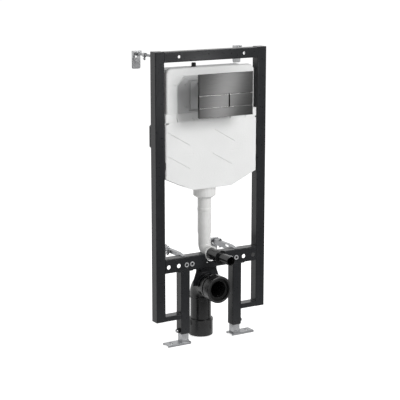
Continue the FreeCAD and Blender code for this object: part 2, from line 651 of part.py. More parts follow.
def rod_hook():
    """Collar on a wall rod with a finger hook under it."""
    front, back = HOOK_PLACE
    body = rod((POST_X, front, ROD_Z), (POST_X, back, ROD_Z), HOOK_BODY_RADIUS)
    middle = (front + back) / 2
    low = ROD_Z - HOOK_DROP
    finger = rod((POST_X, middle, low), (POST_X, middle, ROD_Z), HOOK_RADIUS)
    tip = rod((POST_X, middle - HOOK_TIP[0], low + HOOK_TIP[1]), (POST_X, middle, low), HOOK_RADIUS)
    knuckle = Part.makeSphere(HOOK_RADIUS * HOOK_KNUCKLE, Vector(POST_X, middle, low))
    body = body.fuse([finger, tip, knuckle]).removeSplitter()
    start, end = (POST_X, front - HOOK_DROP, ROD_Z), (POST_X, back + HOOK_DROP, ROD_Z)
    bore = rod(start, end, ROD_RADIUS + THREAD_FIT)
    return body.cut(bore)


def strut():
    """Pressed angle from the cross rail's top back under the lower wall plate's flange."""
    low, high = CROSS_RAIL_TOP, STRUT_TOP
    bottom, back = high - STRUT_DEPTH, WALL_DISTANCE - WALL_PLATE_GAUGE - STRUT_FIT
    behind = RAIL_DEPTH + STRUT_GAUGE
    left = STRUT_X - STRUT_WIDTH / 2
    side = [(STRUT_FRONT, low), (STRUT_FRONT, low + STRUT_GAUGE), (STRUT_TAB_END, low + STRUT_GAUGE),
            (STRUT_TAPER_END, high), (back, high), (back, high - STRUT_REAR_HEIGHT),
            (back - STRUT_REAR_TAPER, bottom),
            (behind, bottom), (behind, low)]
    points = [Vector(left, y, z) for y, z in side]
    body = Part.Face(Part.makePolygon(points + points[:1])).extrude(Vector(STRUT_WIDTH, 0, 0))
    under = [(STRUT_TAB_END, bottom - 1), (STRUT_TAB_END, low), (STRUT_TAPER_END, high - STRUT_GAUGE),
             (back + 1, high - STRUT_GAUGE), (back + 1, bottom - 1)]
    points = [Vector(left + STRUT_GAUGE, y, z) for y, z in under]
    room = Vector(STRUT_WIDTH, 0, 0)
    body = body.cut(Part.Face(Part.makePolygon(points + points[:1])).extrude(room))
    slot_z = high - STRUT_GAUGE - STRUT_SLOT_DROP
    centre = (STRUT_X, sum(STRUT_SLOT_Y) / 2, slot_z)
    length = STRUT_SLOT_Y[1] - STRUT_SLOT_Y[0]
    body = body.cut(slot(centre, length, STRUT_SLOT_HEIGHT / 2, X_AXIS, Y_AXIS, 2 * STRUT_WIDTH))
    centre = (STRUT_BOLT_X, STRUT_BOLT_Y, high)
    travel = slot(centre, STRUT_TRAVEL, STRUT_BOLT_RADIUS + ROD_FIT, Z_AXIS, Y_AXIS, 4 * STRUT_GAUGE)
    x, y = STRUT_X, TAB_SCREW_Y
    screw = rod((x, y, low - 1), (x, y, high + 1), TAB_SCREW_RADIUS / 2 + ROD_FIT)
    return body.cut([travel, screw])


def strut_bolt():
    """Bolt with a washer, a nut and a stop nut in a strut's slot, and the screw in the strut's front tab."""
    x, y, top, bottom = STRUT_BOLT_X, STRUT_BOLT_Y, STRUT_TOP, STRUT_TOP - STRUT_DEPTH
    washer_top, under = top + STRUT_WASHER, top - STRUT_GAUGE
    shank = rod((x, y, bottom - STRUT_BOLT_TAIL), (x, y, washer_top), STRUT_BOLT_RADIUS)
    washer = rod((x, y, top), (x, y, washer_top), 2 * STRUT_BOLT_RADIUS)
    head = hexagon((x, y, washer_top), (x, y, washer_top + STRUT_BOLT_HEAD), STRUT_BOLT_FLATS)
    nut = hexagon((x, y, under - STRUT_NUT), (x, y, under), STRUT_BOLT_FLATS)
    stop = hexagon((x, y, bottom - STRUT_NUT / 2), (x, y, bottom + STRUT_NUT / 2), STRUT_BOLT_FLATS)
    bolt = shank.fuse([washer, head, nut, stop]).removeSplitter()
    seat = (STRUT_X, TAB_SCREW_Y, CROSS_RAIL_TOP + STRUT_GAUGE)
    return Part.makeCompound([bolt, tab_screw(seat, Z_AXIS, STRUT_GAUGE)])


def tab_screw(seat, out, depth):
    """A small pan head screw; it stands on its seat and reaches down by a depth."""
    radius, head = TAB_SCREW_RADIUS, TAB_SCREW_HEAD
    profile = [(-depth, 0), (-depth, radius / 2), (0, radius / 2), (0, radius), (head * 0.6, radius * 0.95),
               (head, radius * 0.5), (head, 0)]
    return revolved(profile, seat, out)


def make_cistern():
    """Foam half shells round the tank, the service opening and the tank's straps."""
    save("lower_shell", lower_shell())
    save("upper_shell", upper_shell())
    save("tank", tank())
    save("service_frame", service_frame())
    save("valve_housing", valve_housing())
    radius, step, height = KNOB_RADIUS, KNOB_STEP, KNOB_HEIGHT
    profile = [(0, 0), (0, radius), (KNOB_FLANGE, radius), (KNOB_FLANGE + step / 2, radius - step),
               (height - step, radius - step), (height, radius - 2 * step), (height, 0)]
    save("tank_plug", revolved(profile, (KNOB_X, KNOB_Y, TANK_TOP), Z_AXIS))
    strap = block((TANK_WIDTH / 2 + FOAM_FIT, HALF_FRAME), (POST_SIZE, POST_SIZE + TANK_STRAP_DEPTH),
                  (TANK_STRAP_BOTTOM, TANK_STRAP_TOP))
    corners = edges_along(strap, Y_AXIS, lambda p: p.x > HALF_FRAME - 0.1)
    save_both("tank_straps", strap.makeChamfer(TANK_STRAP_CORNER, corners))


def lower_shell():
    """Lower foam shell: tapered bottom, slanting grooves, faint pads and side notches."""
    half, flat = SHELL_WIDTH / 2, SHELL_FLAT_WIDTH / 2
    low, side, top = LOWER_SHELL_BOTTOM, LOWER_SHELL_SIDE, SHELL_PARTING
    points = [Vector(-half, 0, top), Vector(-half, 0, side), Vector(-flat, 0, low),
              Vector(flat, 0, low), Vector(half, 0, side), Vector(half, 0, top)]
    body = Part.Face(Part.makePolygon(points + points[:1])).extrude(Vector(0, SHELL_DEPTH, 0))
    body = body.makeFillet(SHELL_CORNER, edges_along(body, Z_AXIS, lambda p: p.y < 1))
    strap = block((-half - 1, half + 1), (POST_SIZE - FOAM_FIT, POST_SIZE + TANK_STRAP_DEPTH + FOAM_FIT),
                  (TANK_STRAP_BOTTOM - FOAM_FIT, TANK_STRAP_TOP + FOAM_FIT))
    outlet = rod((0, FLUSH_Y, LOWER_SHELL_BOTTOM - 1), (0, FLUSH_Y, TANK_BOTTOM + 1),
                 FLUSH_PIPE_RADIUS + FOAM_FIT)
    cuts = [tank_pocket(), strap, outlet, parting_groove()] + shell_grooves() + shell_pads() + side_notches()
    return body.cut(cuts)


def parting_groove():
    """Shallow groove in the shells' front where they meet."""
    half = SHELL_WIDTH / 2 + 1
    return block((-half, half), (-1, PARTING_DEPTH),
                 (SHELL_PARTING - PARTING_GROOVE / 2, SHELL_PARTING + PARTING_GROOVE / 2))


def shell_grooves():
    """Slanting grooves moulded in the front of the lower shell."""
    slope = math.radians(GROOVE_SLOPE)
    run = Vector(math.cos(slope), 0, -math.sin(slope))
    across = Vector(math.sin(slope), 0, math.cos(slope))
    grooves = []
    for (x, z), length in zip(GROOVE_STARTS, GROOVE_LENGTHS):
        start = Vector(x, 0, z)
        edge = across * (GROOVE_WIDTH / 2)
        points = [start + edge - Y_AXIS, start - edge - Y_AXIS, start - edge * 0.3 + Y_AXIS * GROOVE_DEPTH,
                  start + edge * 0.3 + Y_AXIS * GROOVE_DEPTH]
        grooves.append(Part.Face(Part.makePolygon(points + points[:1])).extrude(run * length))
    return grooves


def shell_pads():
    """Faint rectangular marks in the front of the lower shell."""
    half_x, half_z = PAD_SIZE[0] / 2, PAD_SIZE[1] / 2
    return [block((x - half_x, x + half_x), (-1, PAD_DEPTH), (z - half_z, z + half_z))
            for x, z in PAD_PLACES]


def side_notches():
    """Grip notches in the lower shell's sides, and the notches for prying the shells apart."""
    half = SHELL_WIDTH / 2
    deep, tall, long = SIDE_NOTCH
    width, depth, height = PRY_NOTCH
    top = SHELL_PARTING
    notches = []
    for side in (-1, 1):
        edge = sorted((side * (half - deep), side * (half + 1)))
        notches.append(block(edge, (-1, long), (SIDE_NOTCH_Z - tall / 2, SIDE_NOTCH_Z + tall / 2)))
        edge = sorted((side * (half - width), side * (half + 1)))
        notches.append(block(edge, (-1, depth), (top - height, top)))
    return notches


def tank_pocket():
    """The room that the shells leave for the tank."""
    pocket = tank_block(-FOAM_FIT)
    behind = tank_block(-FOAM_FIT)
    behind.translate(Vector(0, TANK_BACK - UPPER_SHELL_FACE - 1, 0))
    above = tank_block(-FOAM_FIT)
    above.translate(Vector(0, 0, (TANK_TOP - TANK_BOTTOM) * 0.7))
    return pocket.fuse([behind, above])


def recess_outline(y, share, inset=0.0):
    """The outline of the service recess at a depth y; share goes from 0 at its mouth to 1 at its floor."""
    half, low, high, cut_x, cut_z = [a + (b - a) * share for a, b in zip(RECESS_MOUTH, RECESS_FLOOR)]
    half, low, high = half - inset, low + inset, high - inset
    points = [Vector(-half, y, low), Vector(half, y, low), Vector(half, y, high - cut_z),
              Vector(half - cut_x, y, high), Vector(-half + cut_x, y, high), Vector(-half, y, high - cut_z)]
    return Part.makePolygon(points + points[:1])


def upper_shell():
    """Upper foam shell: a wide band over the parting line and a narrower face with the service recess."""
    half = SHELL_WIDTH / 2
    low, set_back = SHELL_PARTING, UPPER_SHELL_FRONT
    band = block((-half, half), (0, SHELL_DEPTH), (low, BAND_TOP))
    band = band.makeFillet(SHELL_CORNER, edges_along(band, Z_AXIS, lambda p: p.y < 1))
    half = UPPER_SHELL_WIDTH / 2
    face = block((-half, half), (set_back, UPPER_SHELL_FACE), (low, UPPER_SHELL_TOP))
    face = face.makeFillet(UPPER_SHELL_CORNER, edges_along(face, Y_AXIS, lambda p: p.z > BAND_TOP))
    front = [e for e in face.Edges if e.CenterOfMass.y < set_back + 0.01 and e.CenterOfMass.z > BAND_TOP]
    face = face.makeFillet(SHELL_CORNER, front)
    body = band.fuse(face).removeSplitter()

    beyond = -1.0 / SERVICE_FACE
    slope = Part.makeLoft([recess_outline(-1.0, beyond), recess_outline(SERVICE_FACE, 1.0)], True, True)
    floor = Part.Face(recess_outline(SERVICE_FACE - 0.01, 1.0)).extrude(Vector(0, UPPER_SHELL_FACE, 0))
    cuts = [tank_pocket(), slope, floor, parting_groove()]
    for z, near, far in RECESS_LINES:
        for x in ((-far, -near), (near, far)):
            y = (set_back - 1, set_back + GROOVE_DEPTH)
            cuts.append(block(x, y, (z - GROOVE_WIDTH / 2, z + GROOVE_WIDTH / 2)))
    x, width, height, depth = LEDGE_NOTCH
    for side in (-x, x):
        notch_x = (side - width / 2, side + width / 2)
        cuts.append(block(notch_x, (-1, depth), (low - 1, low + height)))
    return body.cut(cuts)


def tank():
    """The tank behind the foam shells, with ribs on its back."""
    body = tank_block(0)
    body = body.makeFillet(TANK_CORNER, edges_along(body, Z_AXIS, lambda p: p.y > UPPER_SHELL_FACE + 1))
    for step in range(-2, 3):
        x = step * RIB_SPACING
        body = body.cut(block((x - RIB_WIDTH / 2, x + RIB_WIDTH / 2), (TANK_BACK - RIB_DEPTH, TANK_BACK + 1),
                              (TANK_BOTTOM + RIB_END_GAP[0], TANK_TOP - RIB_END_GAP[1])))
    outlet = rod((0, FLUSH_Y, TANK_BOTTOM - 1), (0, FLUSH_Y, TANK_BOTTOM + 2 * TANK_WALL),
                 FLUSH_PIPE_RADIUS - FLUSH_WALL)
    return body.cut(tank_block(TANK_WALL)).cut(outlet)


def tank_block(inset):
    """The tank's plain outline, drawn in by an inset on every side."""
    half, flat = TANK_WIDTH / 2 - inset, SHELL_FLAT_WIDTH / 2
    low, high = TANK_BOTTOM + inset, TANK_TOP - inset
    side = low + (half - flat) * TANK_TAPER
    points = [Vector(-half, 0, high), Vector(-half, 0, side), Vector(-flat, 0, low),
              Vector(flat, 0, low), Vector(half, 0, side), Vector(half, 0, high)]
    front, back = UPPER_SHELL_FACE + inset, TANK_BACK - inset - (RIB_DEPTH if inset else 0)
    body = Part.Face(Part.makePolygon(points + points[:1])).extrude(Vector(0, back - front, 0))
    body.translate(Vector(0, front, 0))
    return body


def service_frame():
    """Grey frame on the floor of the recess, with a rim round the service opening and four screw bosses."""
    frame = Part.Face(recess_outline(SERVICE_FACE, 1.0, FOAM_FIT))
    frame = frame.extrude(Vector(0, UPPER_SHELL_FACE - SERVICE_FACE, 0))
    half_x, half_z = SERVICE_OPENING[0] / 2, SERVICE_OPENING[1] / 2
    z = SERVICE_OPENING_Z
    rim_x, rim_z = half_x + SERVICE_RIM, half_z + SERVICE_RIM
    rim = block((-rim_x, rim_x), (SERVICE_FACE - SERVICE_RIM_HEIGHT, SERVICE_FACE), (z - rim_z, z + rim_z))
    rim = rim.makeFillet(SERVICE_RIM * 2, edges_along(rim, Y_AXIS))
    bosses, screws = [], []
    for side in (-1, 1):
        for end in (-1, 1):
            out, in_z = SERVICE_BOSS_PLACE
            centre = (side * (half_x + out), SERVICE_FACE, z + end * (half_z - in_z))
            front = (centre[0], SERVICE_FACE - SERVICE_RIM_HEIGHT, centre[2])
            bosses.append(rod(front, centre, SERVICE_BOSS_RADIUS))
            back = (centre[0], SERVICE_FACE + SERVICE_SCREW_DEPTH, centre[2])
            screws.append(rod(front, back, SERVICE_SCREW_RADIUS))
    frame = frame.fuse([rim] + bosses).removeSplitter()
    opening = block((-half_x, half_x), (0, MECHANISM_FACE), (z - half_z, z + half_z))
    return frame.cut([opening] + screws)


def valve_housing():
    """Levers' cover in the service opening, which the push rods and fixing rods meet."""
    half_x, half_z = SERVICE_OPENING[0] / 2 - HOUSING_GAP[0], SERVICE_OPENING[1] / 2 - HOUSING_GAP[1]
    front, z = SERVICE_FACE + HOUSING_STEP, SERVICE_OPENING_Z
    body = block((-half_x, half_x), (front, MECHANISM_FACE), (z - half_z, z + half_z))
    return body.makeFillet(6.0, edges_along(body, Y_AXIS))


def make_flush_plate():
    """Flush plate on its carrier, with two sliding buttons and their push rods."""
    half = PLATE_WIDTH / 2
    panel_y = (PLATE_FACE_Y, PLATE_FACE_Y + PANEL_THICKNESS)
    upper = block((-half, half), panel_y, (BUTTON_TOP, PLATE_TOP))
    lower = block((-half, half), panel_y, (PLATE_BOTTOM, BUTTON_BOTTOM))
    save("plate_panels", Part.makeCompound([chamfered_front(upper), chamfered_front(lower)]))

    inset = CARRIER_INSET
    back = panel_y[1] + CARRIER_DEPTH
    carrier_z = (PLATE_BOTTOM + inset, PLATE_TOP - inset)
    carrier = block((-half + inset, half - inset), (panel_y[1], back), carrier_z)
    channel_y = (panel_y[1] - 1, back - CARRIER_WEB)
    carrier = carrier.cut(block((-half, half), channel_y, (BUTTON_BOTTOM, BUTTON_TOP)))
    middle_z = (BUTTON_BOTTOM + BUTTON_TOP) / 2
    buttons = {"full_flush": (-half, BUTTON_SPLIT_X - BUTTON_SPLIT_GAP / 2),
               "half_flush": (BUTTON_SPLIT_X + BUTTON_SPLIT_GAP / 2, half)}
    rod_end = SERVICE_FACE + HOUSING_STEP - BUTTON_TRAVEL - 0.5
    button_y = (PLATE_FACE_Y, PLATE_FACE_Y + BUTTON_THICKNESS)
    for name, x in buttons.items():
        z = (BUTTON_BOTTOM + BUTTON_GAP, BUTTON_TOP - BUTTON_GAP)
        save(name + "_button", chamfered_front(block(x, button_y, z)))
        rod_x = (x[0] + x[1]) / 2 if name == "full_flush" else HALF_ROD_X
        save(name + "_rod", rod((rod_x, button_y[1], middle_z), (rod_x, rod_end, middle_z), PUSH_ROD_RADIUS))
        carrier = carrier.cut(rod((rod_x, panel_y[1] - 1, middle_z), (rod_x, back + 1, middle_z),
                                  PUSH_ROD_RADIUS + PUSH_ROD_GAP))
    save("plate_carrier", carrier)
    rod_back, z = SERVICE_FACE + HOUSING_STEP, FIXING_ROD_Z
    rods = [rod((x, back, z), (x, rod_back, z), FIXING_ROD_RADIUS) for x in (-FIXING_ROD_X, FIXING_ROD_X)]
    save("fixing_rods", Part.makeCompound(rods))


def chamfered_front(panel):
    """A panel with a fine bevel round its front face."""
    front = [edge for edge in panel.Edges if edge.CenterOfMass.y < PLATE_FACE_Y + 0.01]
    return panel.makeChamfer(0.8, front)


def make_flush_pipe():
    """Outlet collar, white flush pipe with its bend, and the black sleeve to the toilet."""
    profile = [(0, FLUSH_PIPE_RADIUS + 0.5), (0, FLUSH_PIPE_RADIUS + 3), (OUTLET_TAPER, OUTLET_RADIUS),
               (LOWER_SHELL_BOTTOM - OUTLET_BOTTOM, OUTLET_RADIUS),
               (LOWER_SHELL_BOTTOM - OUTLET_BOTTOM, FLUSH_PIPE_RADIUS + 0.5)]
    save("outlet_nut", revolved(profile, (0, FLUSH_Y, OUTLET_BOTTOM), Z_AXIS))

    radius, bore = FLUSH_PIPE_RADIUS, FLUSH_BEND_RADIUS - FLUSH_WALL
    low, high, bead = PIPE_BEAD_Z, PIPE_BEAD_Z + PIPE_BEAD_LENGTH, PIPE_BEAD
    profile = [(FLUSH_JOINT_Z, bore), (FLUSH_JOINT_Z, radius), (low, radius), (low + bead, radius + bead),
               (high - bead, radius + bead), (high, radius), (LOWER_SHELL_BOTTOM, radius),
               (LOWER_SHELL_BOTTOM, bore)]
    save("flush_pipe", revolved(profile, (0, FLUSH_Y, 0), Z_AXIS))

    top, corner, front = (0, FLUSH_Y, FLUSH_JOINT_Z), (0, FLUSH_Y, FLUSH_Z), (0, RIM_FRONT, FLUSH_Z)
    bend = bent_pipe(FLUSH_BEND_RADIUS, top, corner, front, FLUSH_TURN)
    rim = rod(front, (0, RIM_FRONT + RIM_LENGTH, FLUSH_Z), RIM_RADIUS)
    hollow = bent_pipe(FLUSH_BEND_RADIUS - FLUSH_WALL, top, corner, front, FLUSH_TURN)
    save("flush_bend", bend.fuse(rim).removeSplitter().cut(hollow))

    save("bend_clip", bend_clip())

    inner = SLEEVE_RADIUS - SLEEVE_WALL
    ring_back, ring_front = RIM_FRONT - SLEEVE_RING[1], RIM_FRONT - SLEEVE_RING[0]
    length = RIM_FRONT - SLEEVE_FRONT
    outer, ring = SLEEVE_RADIUS, SLEEVE_RING_RADIUS
    nose, bevel, bore = SLEEVE_NOSE_RADIUS, SLEEVE_NOSE_CHAMFER, SLEEVE_NOSE_RADIUS - SLEEVE_NOSE_WALL
    profile = [(-SLEEVE_INSIDE, inner), (-SLEEVE_INSIDE, outer), (ring_back, outer),
               (ring_back, ring - bevel), (ring_back + bevel, ring),
               (ring_front - bevel, ring), (ring_front, ring - bevel),
               (ring_front, nose), (length - bevel, nose), (length, nose - bevel), (length, bore),
               (ring_front, bore), (ring_back, inner)]
    save("flush_sleeve", revolved(profile, (0, RIM_FRONT, FLUSH_Z), Vector(0, -1, 0)))


def bend_clip():
    """Small plate screwed to the cross rail, with a tongue that keeps the flush bend in its notch."""
    z = (CROSS_RAIL_TOP - CLIP_DROP - CLIP_HEIGHT, CROSS_RAIL_TOP - CLIP_DROP)
    plate = block(CLIP_PLACE, (-CLIP_GAUGE, 0), z)
    plate = plate.makeFillet(4.0, edges_along(plate, Y_AXIS, lambda p: p.x > CLIP_SCREW_X))
    tongue = block((CLIP_PLACE[0], CLIP_PLACE[0] + CLIP_GAUGE), (-CLIP_GAUGE, RIM_FRONT - PIPE_FIT),
                   (z[1] - CLIP_TONGUE, z[1]))
    middle = (z[0] + z[1]) / 2
    head = tab_screw((CLIP_SCREW_X, -CLIP_GAUGE, middle), Vector(0, -1, 0), 0.5)
    return plate.fuse([tongue, head]).removeSplitter()


def make_waste():
    """Waste bend with its inlet socket and seal, floor socket and the bracket that holds it."""
    top, corner = (0, WASTE_Y, WASTE_JOINT_Z), (0, WASTE_Y, WASTE_Z)
    front = (0, INLET_FRONT + INLET_LENGTH, WASTE_Z)
    bend = bent_pipe(WASTE_BEND_RADIUS, top, corner, front, WASTE_TURN)
    hollow = bent_pipe(WASTE_BEND_RADIUS - WASTE_WALL, top, corner, front, WASTE_TURN)
    low = SOCKET_BOTTOM + SOCKET_SEAT + PIPE_FIT
    outer, high = WASTE_PIPE_RADIUS, WASTE_JOINT_Z
    drop = [(low, outer - WASTE_WALL), (low, outer), (high, outer), (high, outer - WASTE_WALL)]
    proud, tall, bevel = ELBOW_BEAD
    radius = WASTE_BEND_RADIUS
    bead = [(high, outer), (high, radius + proud), (high + tall - bevel, radius + proud),
            (high + tall, radius), (high + tall, outer)]
    solids = [revolved(drop, (0, WASTE_Y, 0), Z_AXIS), revolved(bead, (0, WASTE_Y, 0), Z_AXIS)]
    save("waste_bend", bend.cut(hollow).fuse(solids).removeSplitter())

    inner = WASTE_BEND_RADIUS - WASTE_WALL
    radius, bevel, body = INLET_RADIUS, INLET_BEVEL, INLET_BODY_RADIUS
    profile = [(0, INLET_BORE_RADIUS), (0, radius - bevel), (bevel, radius), (INLET_CUP - bevel, radius),
               (INLET_CUP, radius - bevel), (INLET_CUP, body), (INLET_LENGTH, body),
               (INLET_LENGTH, inner), (INLET_DEPTH, inner), (INLET_DEPTH, INLET_BORE_RADIUS)]
    save("waste_inlet", revolved(profile, (0, INLET_FRONT, WASTE_Z), Y_AXIS))
    web, lining = INLET_LIP_DEPTH, INLET_BORE_RADIUS - SEAL_WALL
    lip = [(1, INLET_BORE_RADIUS), (1, lining), (web, lining), (web, INLET_LIP_RADIUS),
           (web + SEAL_LIP, INLET_LIP_RADIUS), (web + SEAL_LIP, INLET_LIP_RADIUS + SEAL_WALL),
           (web + SEAL_WALL, INLET_LIP_RADIUS + SEAL_WALL + 1), (web + SEAL_WALL, INLET_BORE_RADIUS)]
    save("inlet_seal", revolved(lip, (0, INLET_FRONT, WASTE_Z), Y_AXIS))
    save("floor_socket", floor_socket())
    save("waste_bracket", waste_bracket())
    save("waste_ring", waste_ring())


def floor_socket():
    """Wide socket for the pipe from the floor, with a rolled top edge and a lug on each side."""
    radius, outer = WASTE_PIPE_RADIUS, SOCKET_RADIUS
    low, top, seat = SOCKET_BOTTOM, SOCKET_TOP, SOCKET_BOTTOM + SOCKET_SEAT
    profile = [(low, radius + 1), (low, outer - 1), (low + 1, outer), (top - SOCKET_BEAD, outer),
               (top - SOCKET_BEAD * 0.8, outer + 1), (top - SOCKET_BEAD * 0.2, outer + 1), (top, outer - 1),
               (top, radius + PIPE_FIT), (seat, radius + PIPE_FIT), (seat, radius + 1)]
    body = revolved(profile, (0, WASTE_Y, 0), Z_AXIS)
    out, wide, tall = SOCKET_LUG
    reach = SOCKET_RADIUS + out / 2
    lugs = []
    for side in (-1, 1):
        x = sorted((side * (reach - out), side * reach))
        lug = block(x, (WASTE_Y - wide / 2, WASTE_Y + wide / 2), (top - tall, top - 1))
        lugs.append(lug.makeFillet(1.5, edges_along(lug, Y_AXIS, lambda p: abs(p.x) > reach - 1)))
    return body.fuse(lugs).removeSplitter()


def waste_bracket():
    """Plate behind the cross rail that widens downwards to straddle the waste bend."""
    half, wide = BRACKET_WIDTH / 2, BRACKET_FLARE
    knee = WASTE_Z + BRACKET_FLARE_DROP + 2 * (wide - half)
    low = WASTE_Z
    side = [(half, CROSS_RAIL_BOTTOM + BRACKET_LAP), (half, knee), (wide, low + BRACKET_FLARE_DROP * 0.6),
            (wide, low)]
    points = [Vector(x, RAIL_DEPTH, z) for x, z in side] + [Vector(-x, RAIL_DEPTH, z) for x, z in side[::-1]]
    plate = Part.Face(Part.makePolygon(points + points[:1])).extrude(Vector(0, BRACKET_GAUGE, 0))
    bore = WASTE_BEND_RADIUS + PIPE_FIT
    front, back = RAIL_DEPTH - ARCH_DEPTH, RAIL_DEPTH + BRACKET_GAUGE + 1
    clear = rod((0, front - 1, WASTE_Z), (0, back, WASTE_Z), bore)
    long, deep, tall = BRACKET_RIB
    rib = block((-long / 2, long / 2), (RAIL_DEPTH - deep, RAIL_DEPTH), (knee - tall / 2, knee + tall / 2))
    arch = rod((0, front, WASTE_Z), (0, RAIL_DEPTH, WASTE_Z), bore + ARCH_GAUGE)
    arch = arch.common(block((-wide, wide), (front, RAIL_DEPTH), (WASTE_Z, WASTE_Z + wide)))
    return plate.fuse([rib, arch]).removeSplitter().cut(clear)


def waste_ring():
    """Two part retaining ring round the neck of the waste bend, behind the inlet socket."""
    front = INLET_FRONT + INLET_LENGTH
    start, end = (0, front, WASTE_Z), (0, front + RING_LENGTH, WASTE_Z)
    ring = rod(start, end, RING_RADIUS)
    ring = ring.makeChamfer(RING_CHAMFER, [e for e in ring.Edges if e.Curve.TypeId == "Part::GeomCircle"])
    bore = rod((0, front - 1, WASTE_Z), (0, front + RING_LENGTH + 1, WASTE_Z), WASTE_BEND_RADIUS)
    split = block((0, RING_RADIUS + 1), (front - 1, front + RING_LENGTH + 1),
                  (WASTE_Z - RING_SPLIT / 2, WASTE_Z + RING_SPLIT / 2))
    return ring.cut([bore, split])


os.makedirs("parts", exist_ok=True)
make_frame()
make_feet()
make_wall_fixings()
make_cistern()
make_flush_plate()
make_flush_pipe()
make_waste()
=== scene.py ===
import json
import math

import bmesh
import bpy
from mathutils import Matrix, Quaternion, Vector


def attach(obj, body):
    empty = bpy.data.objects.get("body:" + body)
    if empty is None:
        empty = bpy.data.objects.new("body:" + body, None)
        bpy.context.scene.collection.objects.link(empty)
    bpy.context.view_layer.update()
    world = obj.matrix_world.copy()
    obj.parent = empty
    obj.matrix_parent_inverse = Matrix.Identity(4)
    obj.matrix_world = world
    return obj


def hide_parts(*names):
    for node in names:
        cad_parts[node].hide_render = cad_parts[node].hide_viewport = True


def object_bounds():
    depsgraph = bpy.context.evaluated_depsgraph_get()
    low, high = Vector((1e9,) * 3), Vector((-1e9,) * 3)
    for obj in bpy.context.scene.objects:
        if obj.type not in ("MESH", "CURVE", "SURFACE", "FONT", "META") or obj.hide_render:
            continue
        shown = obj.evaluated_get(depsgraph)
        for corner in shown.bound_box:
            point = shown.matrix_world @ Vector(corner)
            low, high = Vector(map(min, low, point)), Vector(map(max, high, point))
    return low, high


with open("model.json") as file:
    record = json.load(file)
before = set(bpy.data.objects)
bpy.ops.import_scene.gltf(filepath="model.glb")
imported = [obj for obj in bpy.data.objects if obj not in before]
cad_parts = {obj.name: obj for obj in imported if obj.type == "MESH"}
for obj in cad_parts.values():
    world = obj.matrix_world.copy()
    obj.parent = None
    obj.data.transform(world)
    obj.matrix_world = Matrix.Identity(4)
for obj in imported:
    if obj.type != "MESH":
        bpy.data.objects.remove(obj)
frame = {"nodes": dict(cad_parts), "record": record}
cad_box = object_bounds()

# The wall hung toilet frame, dressed for its picture. The scene is in metres in the part's own frame:
# x to the right, y towards the wall, z up. Places on the part are in millimetres, as in the part's
# source: from the middle of the frame, from its front face and from the floor. at() turns them.

RECORD = frame["record"]
BODY_OF = {node: body for body, nodes in RECORD["behaviour"]["bodies"].items() for node in nodes}

MM = 0.001
SIDES = (-1, 1)

# Main sizes of the part, in millimetres
POST_X = 230.0
WALL_DISTANCE = 188.0
ORIGIN_HEIGHT = 1115.0
POST_INNER_X = 210.0
LEG_OUTER_X = 140.0
LEG_INNER_X = 100.0
LEG_TOP = 298.0
BAR_BOTTOM = 107.0
BAR_TOP = 127.0
CROSS_RAIL_BOTTOM = 300.0
CROSS_RAIL_TOP = 357.0
TOP_RAIL_BOTTOM = 1117.0
SHELL_PARTING = 888.0


def at(x, y, z):
    """A place on the part, given in millimetres."""
    return Vector(((x + POST_X) / 1000.0, (y - WALL_DISTANCE) / 1000.0, (z - ORIGIN_HEIGHT) / 1000.0))


def mirrored(*places):
    """The places on the left side and then the same ones on the right."""
    return [at(side * x, y, z) for side in SIDES for x, y, z in places]


def in_scene(name, data):
    """A new object in the scene that carries the data."""
    made = bpy.data.objects.new(name, data)
    bpy.context.scene.collection.objects.link(made)
    return made


def add_node(tree, kind, inputs=None, settings=None):
    """A node with its settings made and its inputs linked or filled in."""
    made = tree.nodes.new(kind)
    for setting, value in (settings or {}).items():
        setattr(made, setting, value)
    for socket, value in (inputs or {}).items():
        if isinstance(value, bpy.types.NodeSocket):
            tree.links.new(value, made.inputs[socket])
        else:
            made.inputs[socket].default_value = value
    return made


# Finishes

# The part of a noise pattern's range that most of its values fall in
NOISE_LOW = 0.3
NOISE_HIGH = 0.7


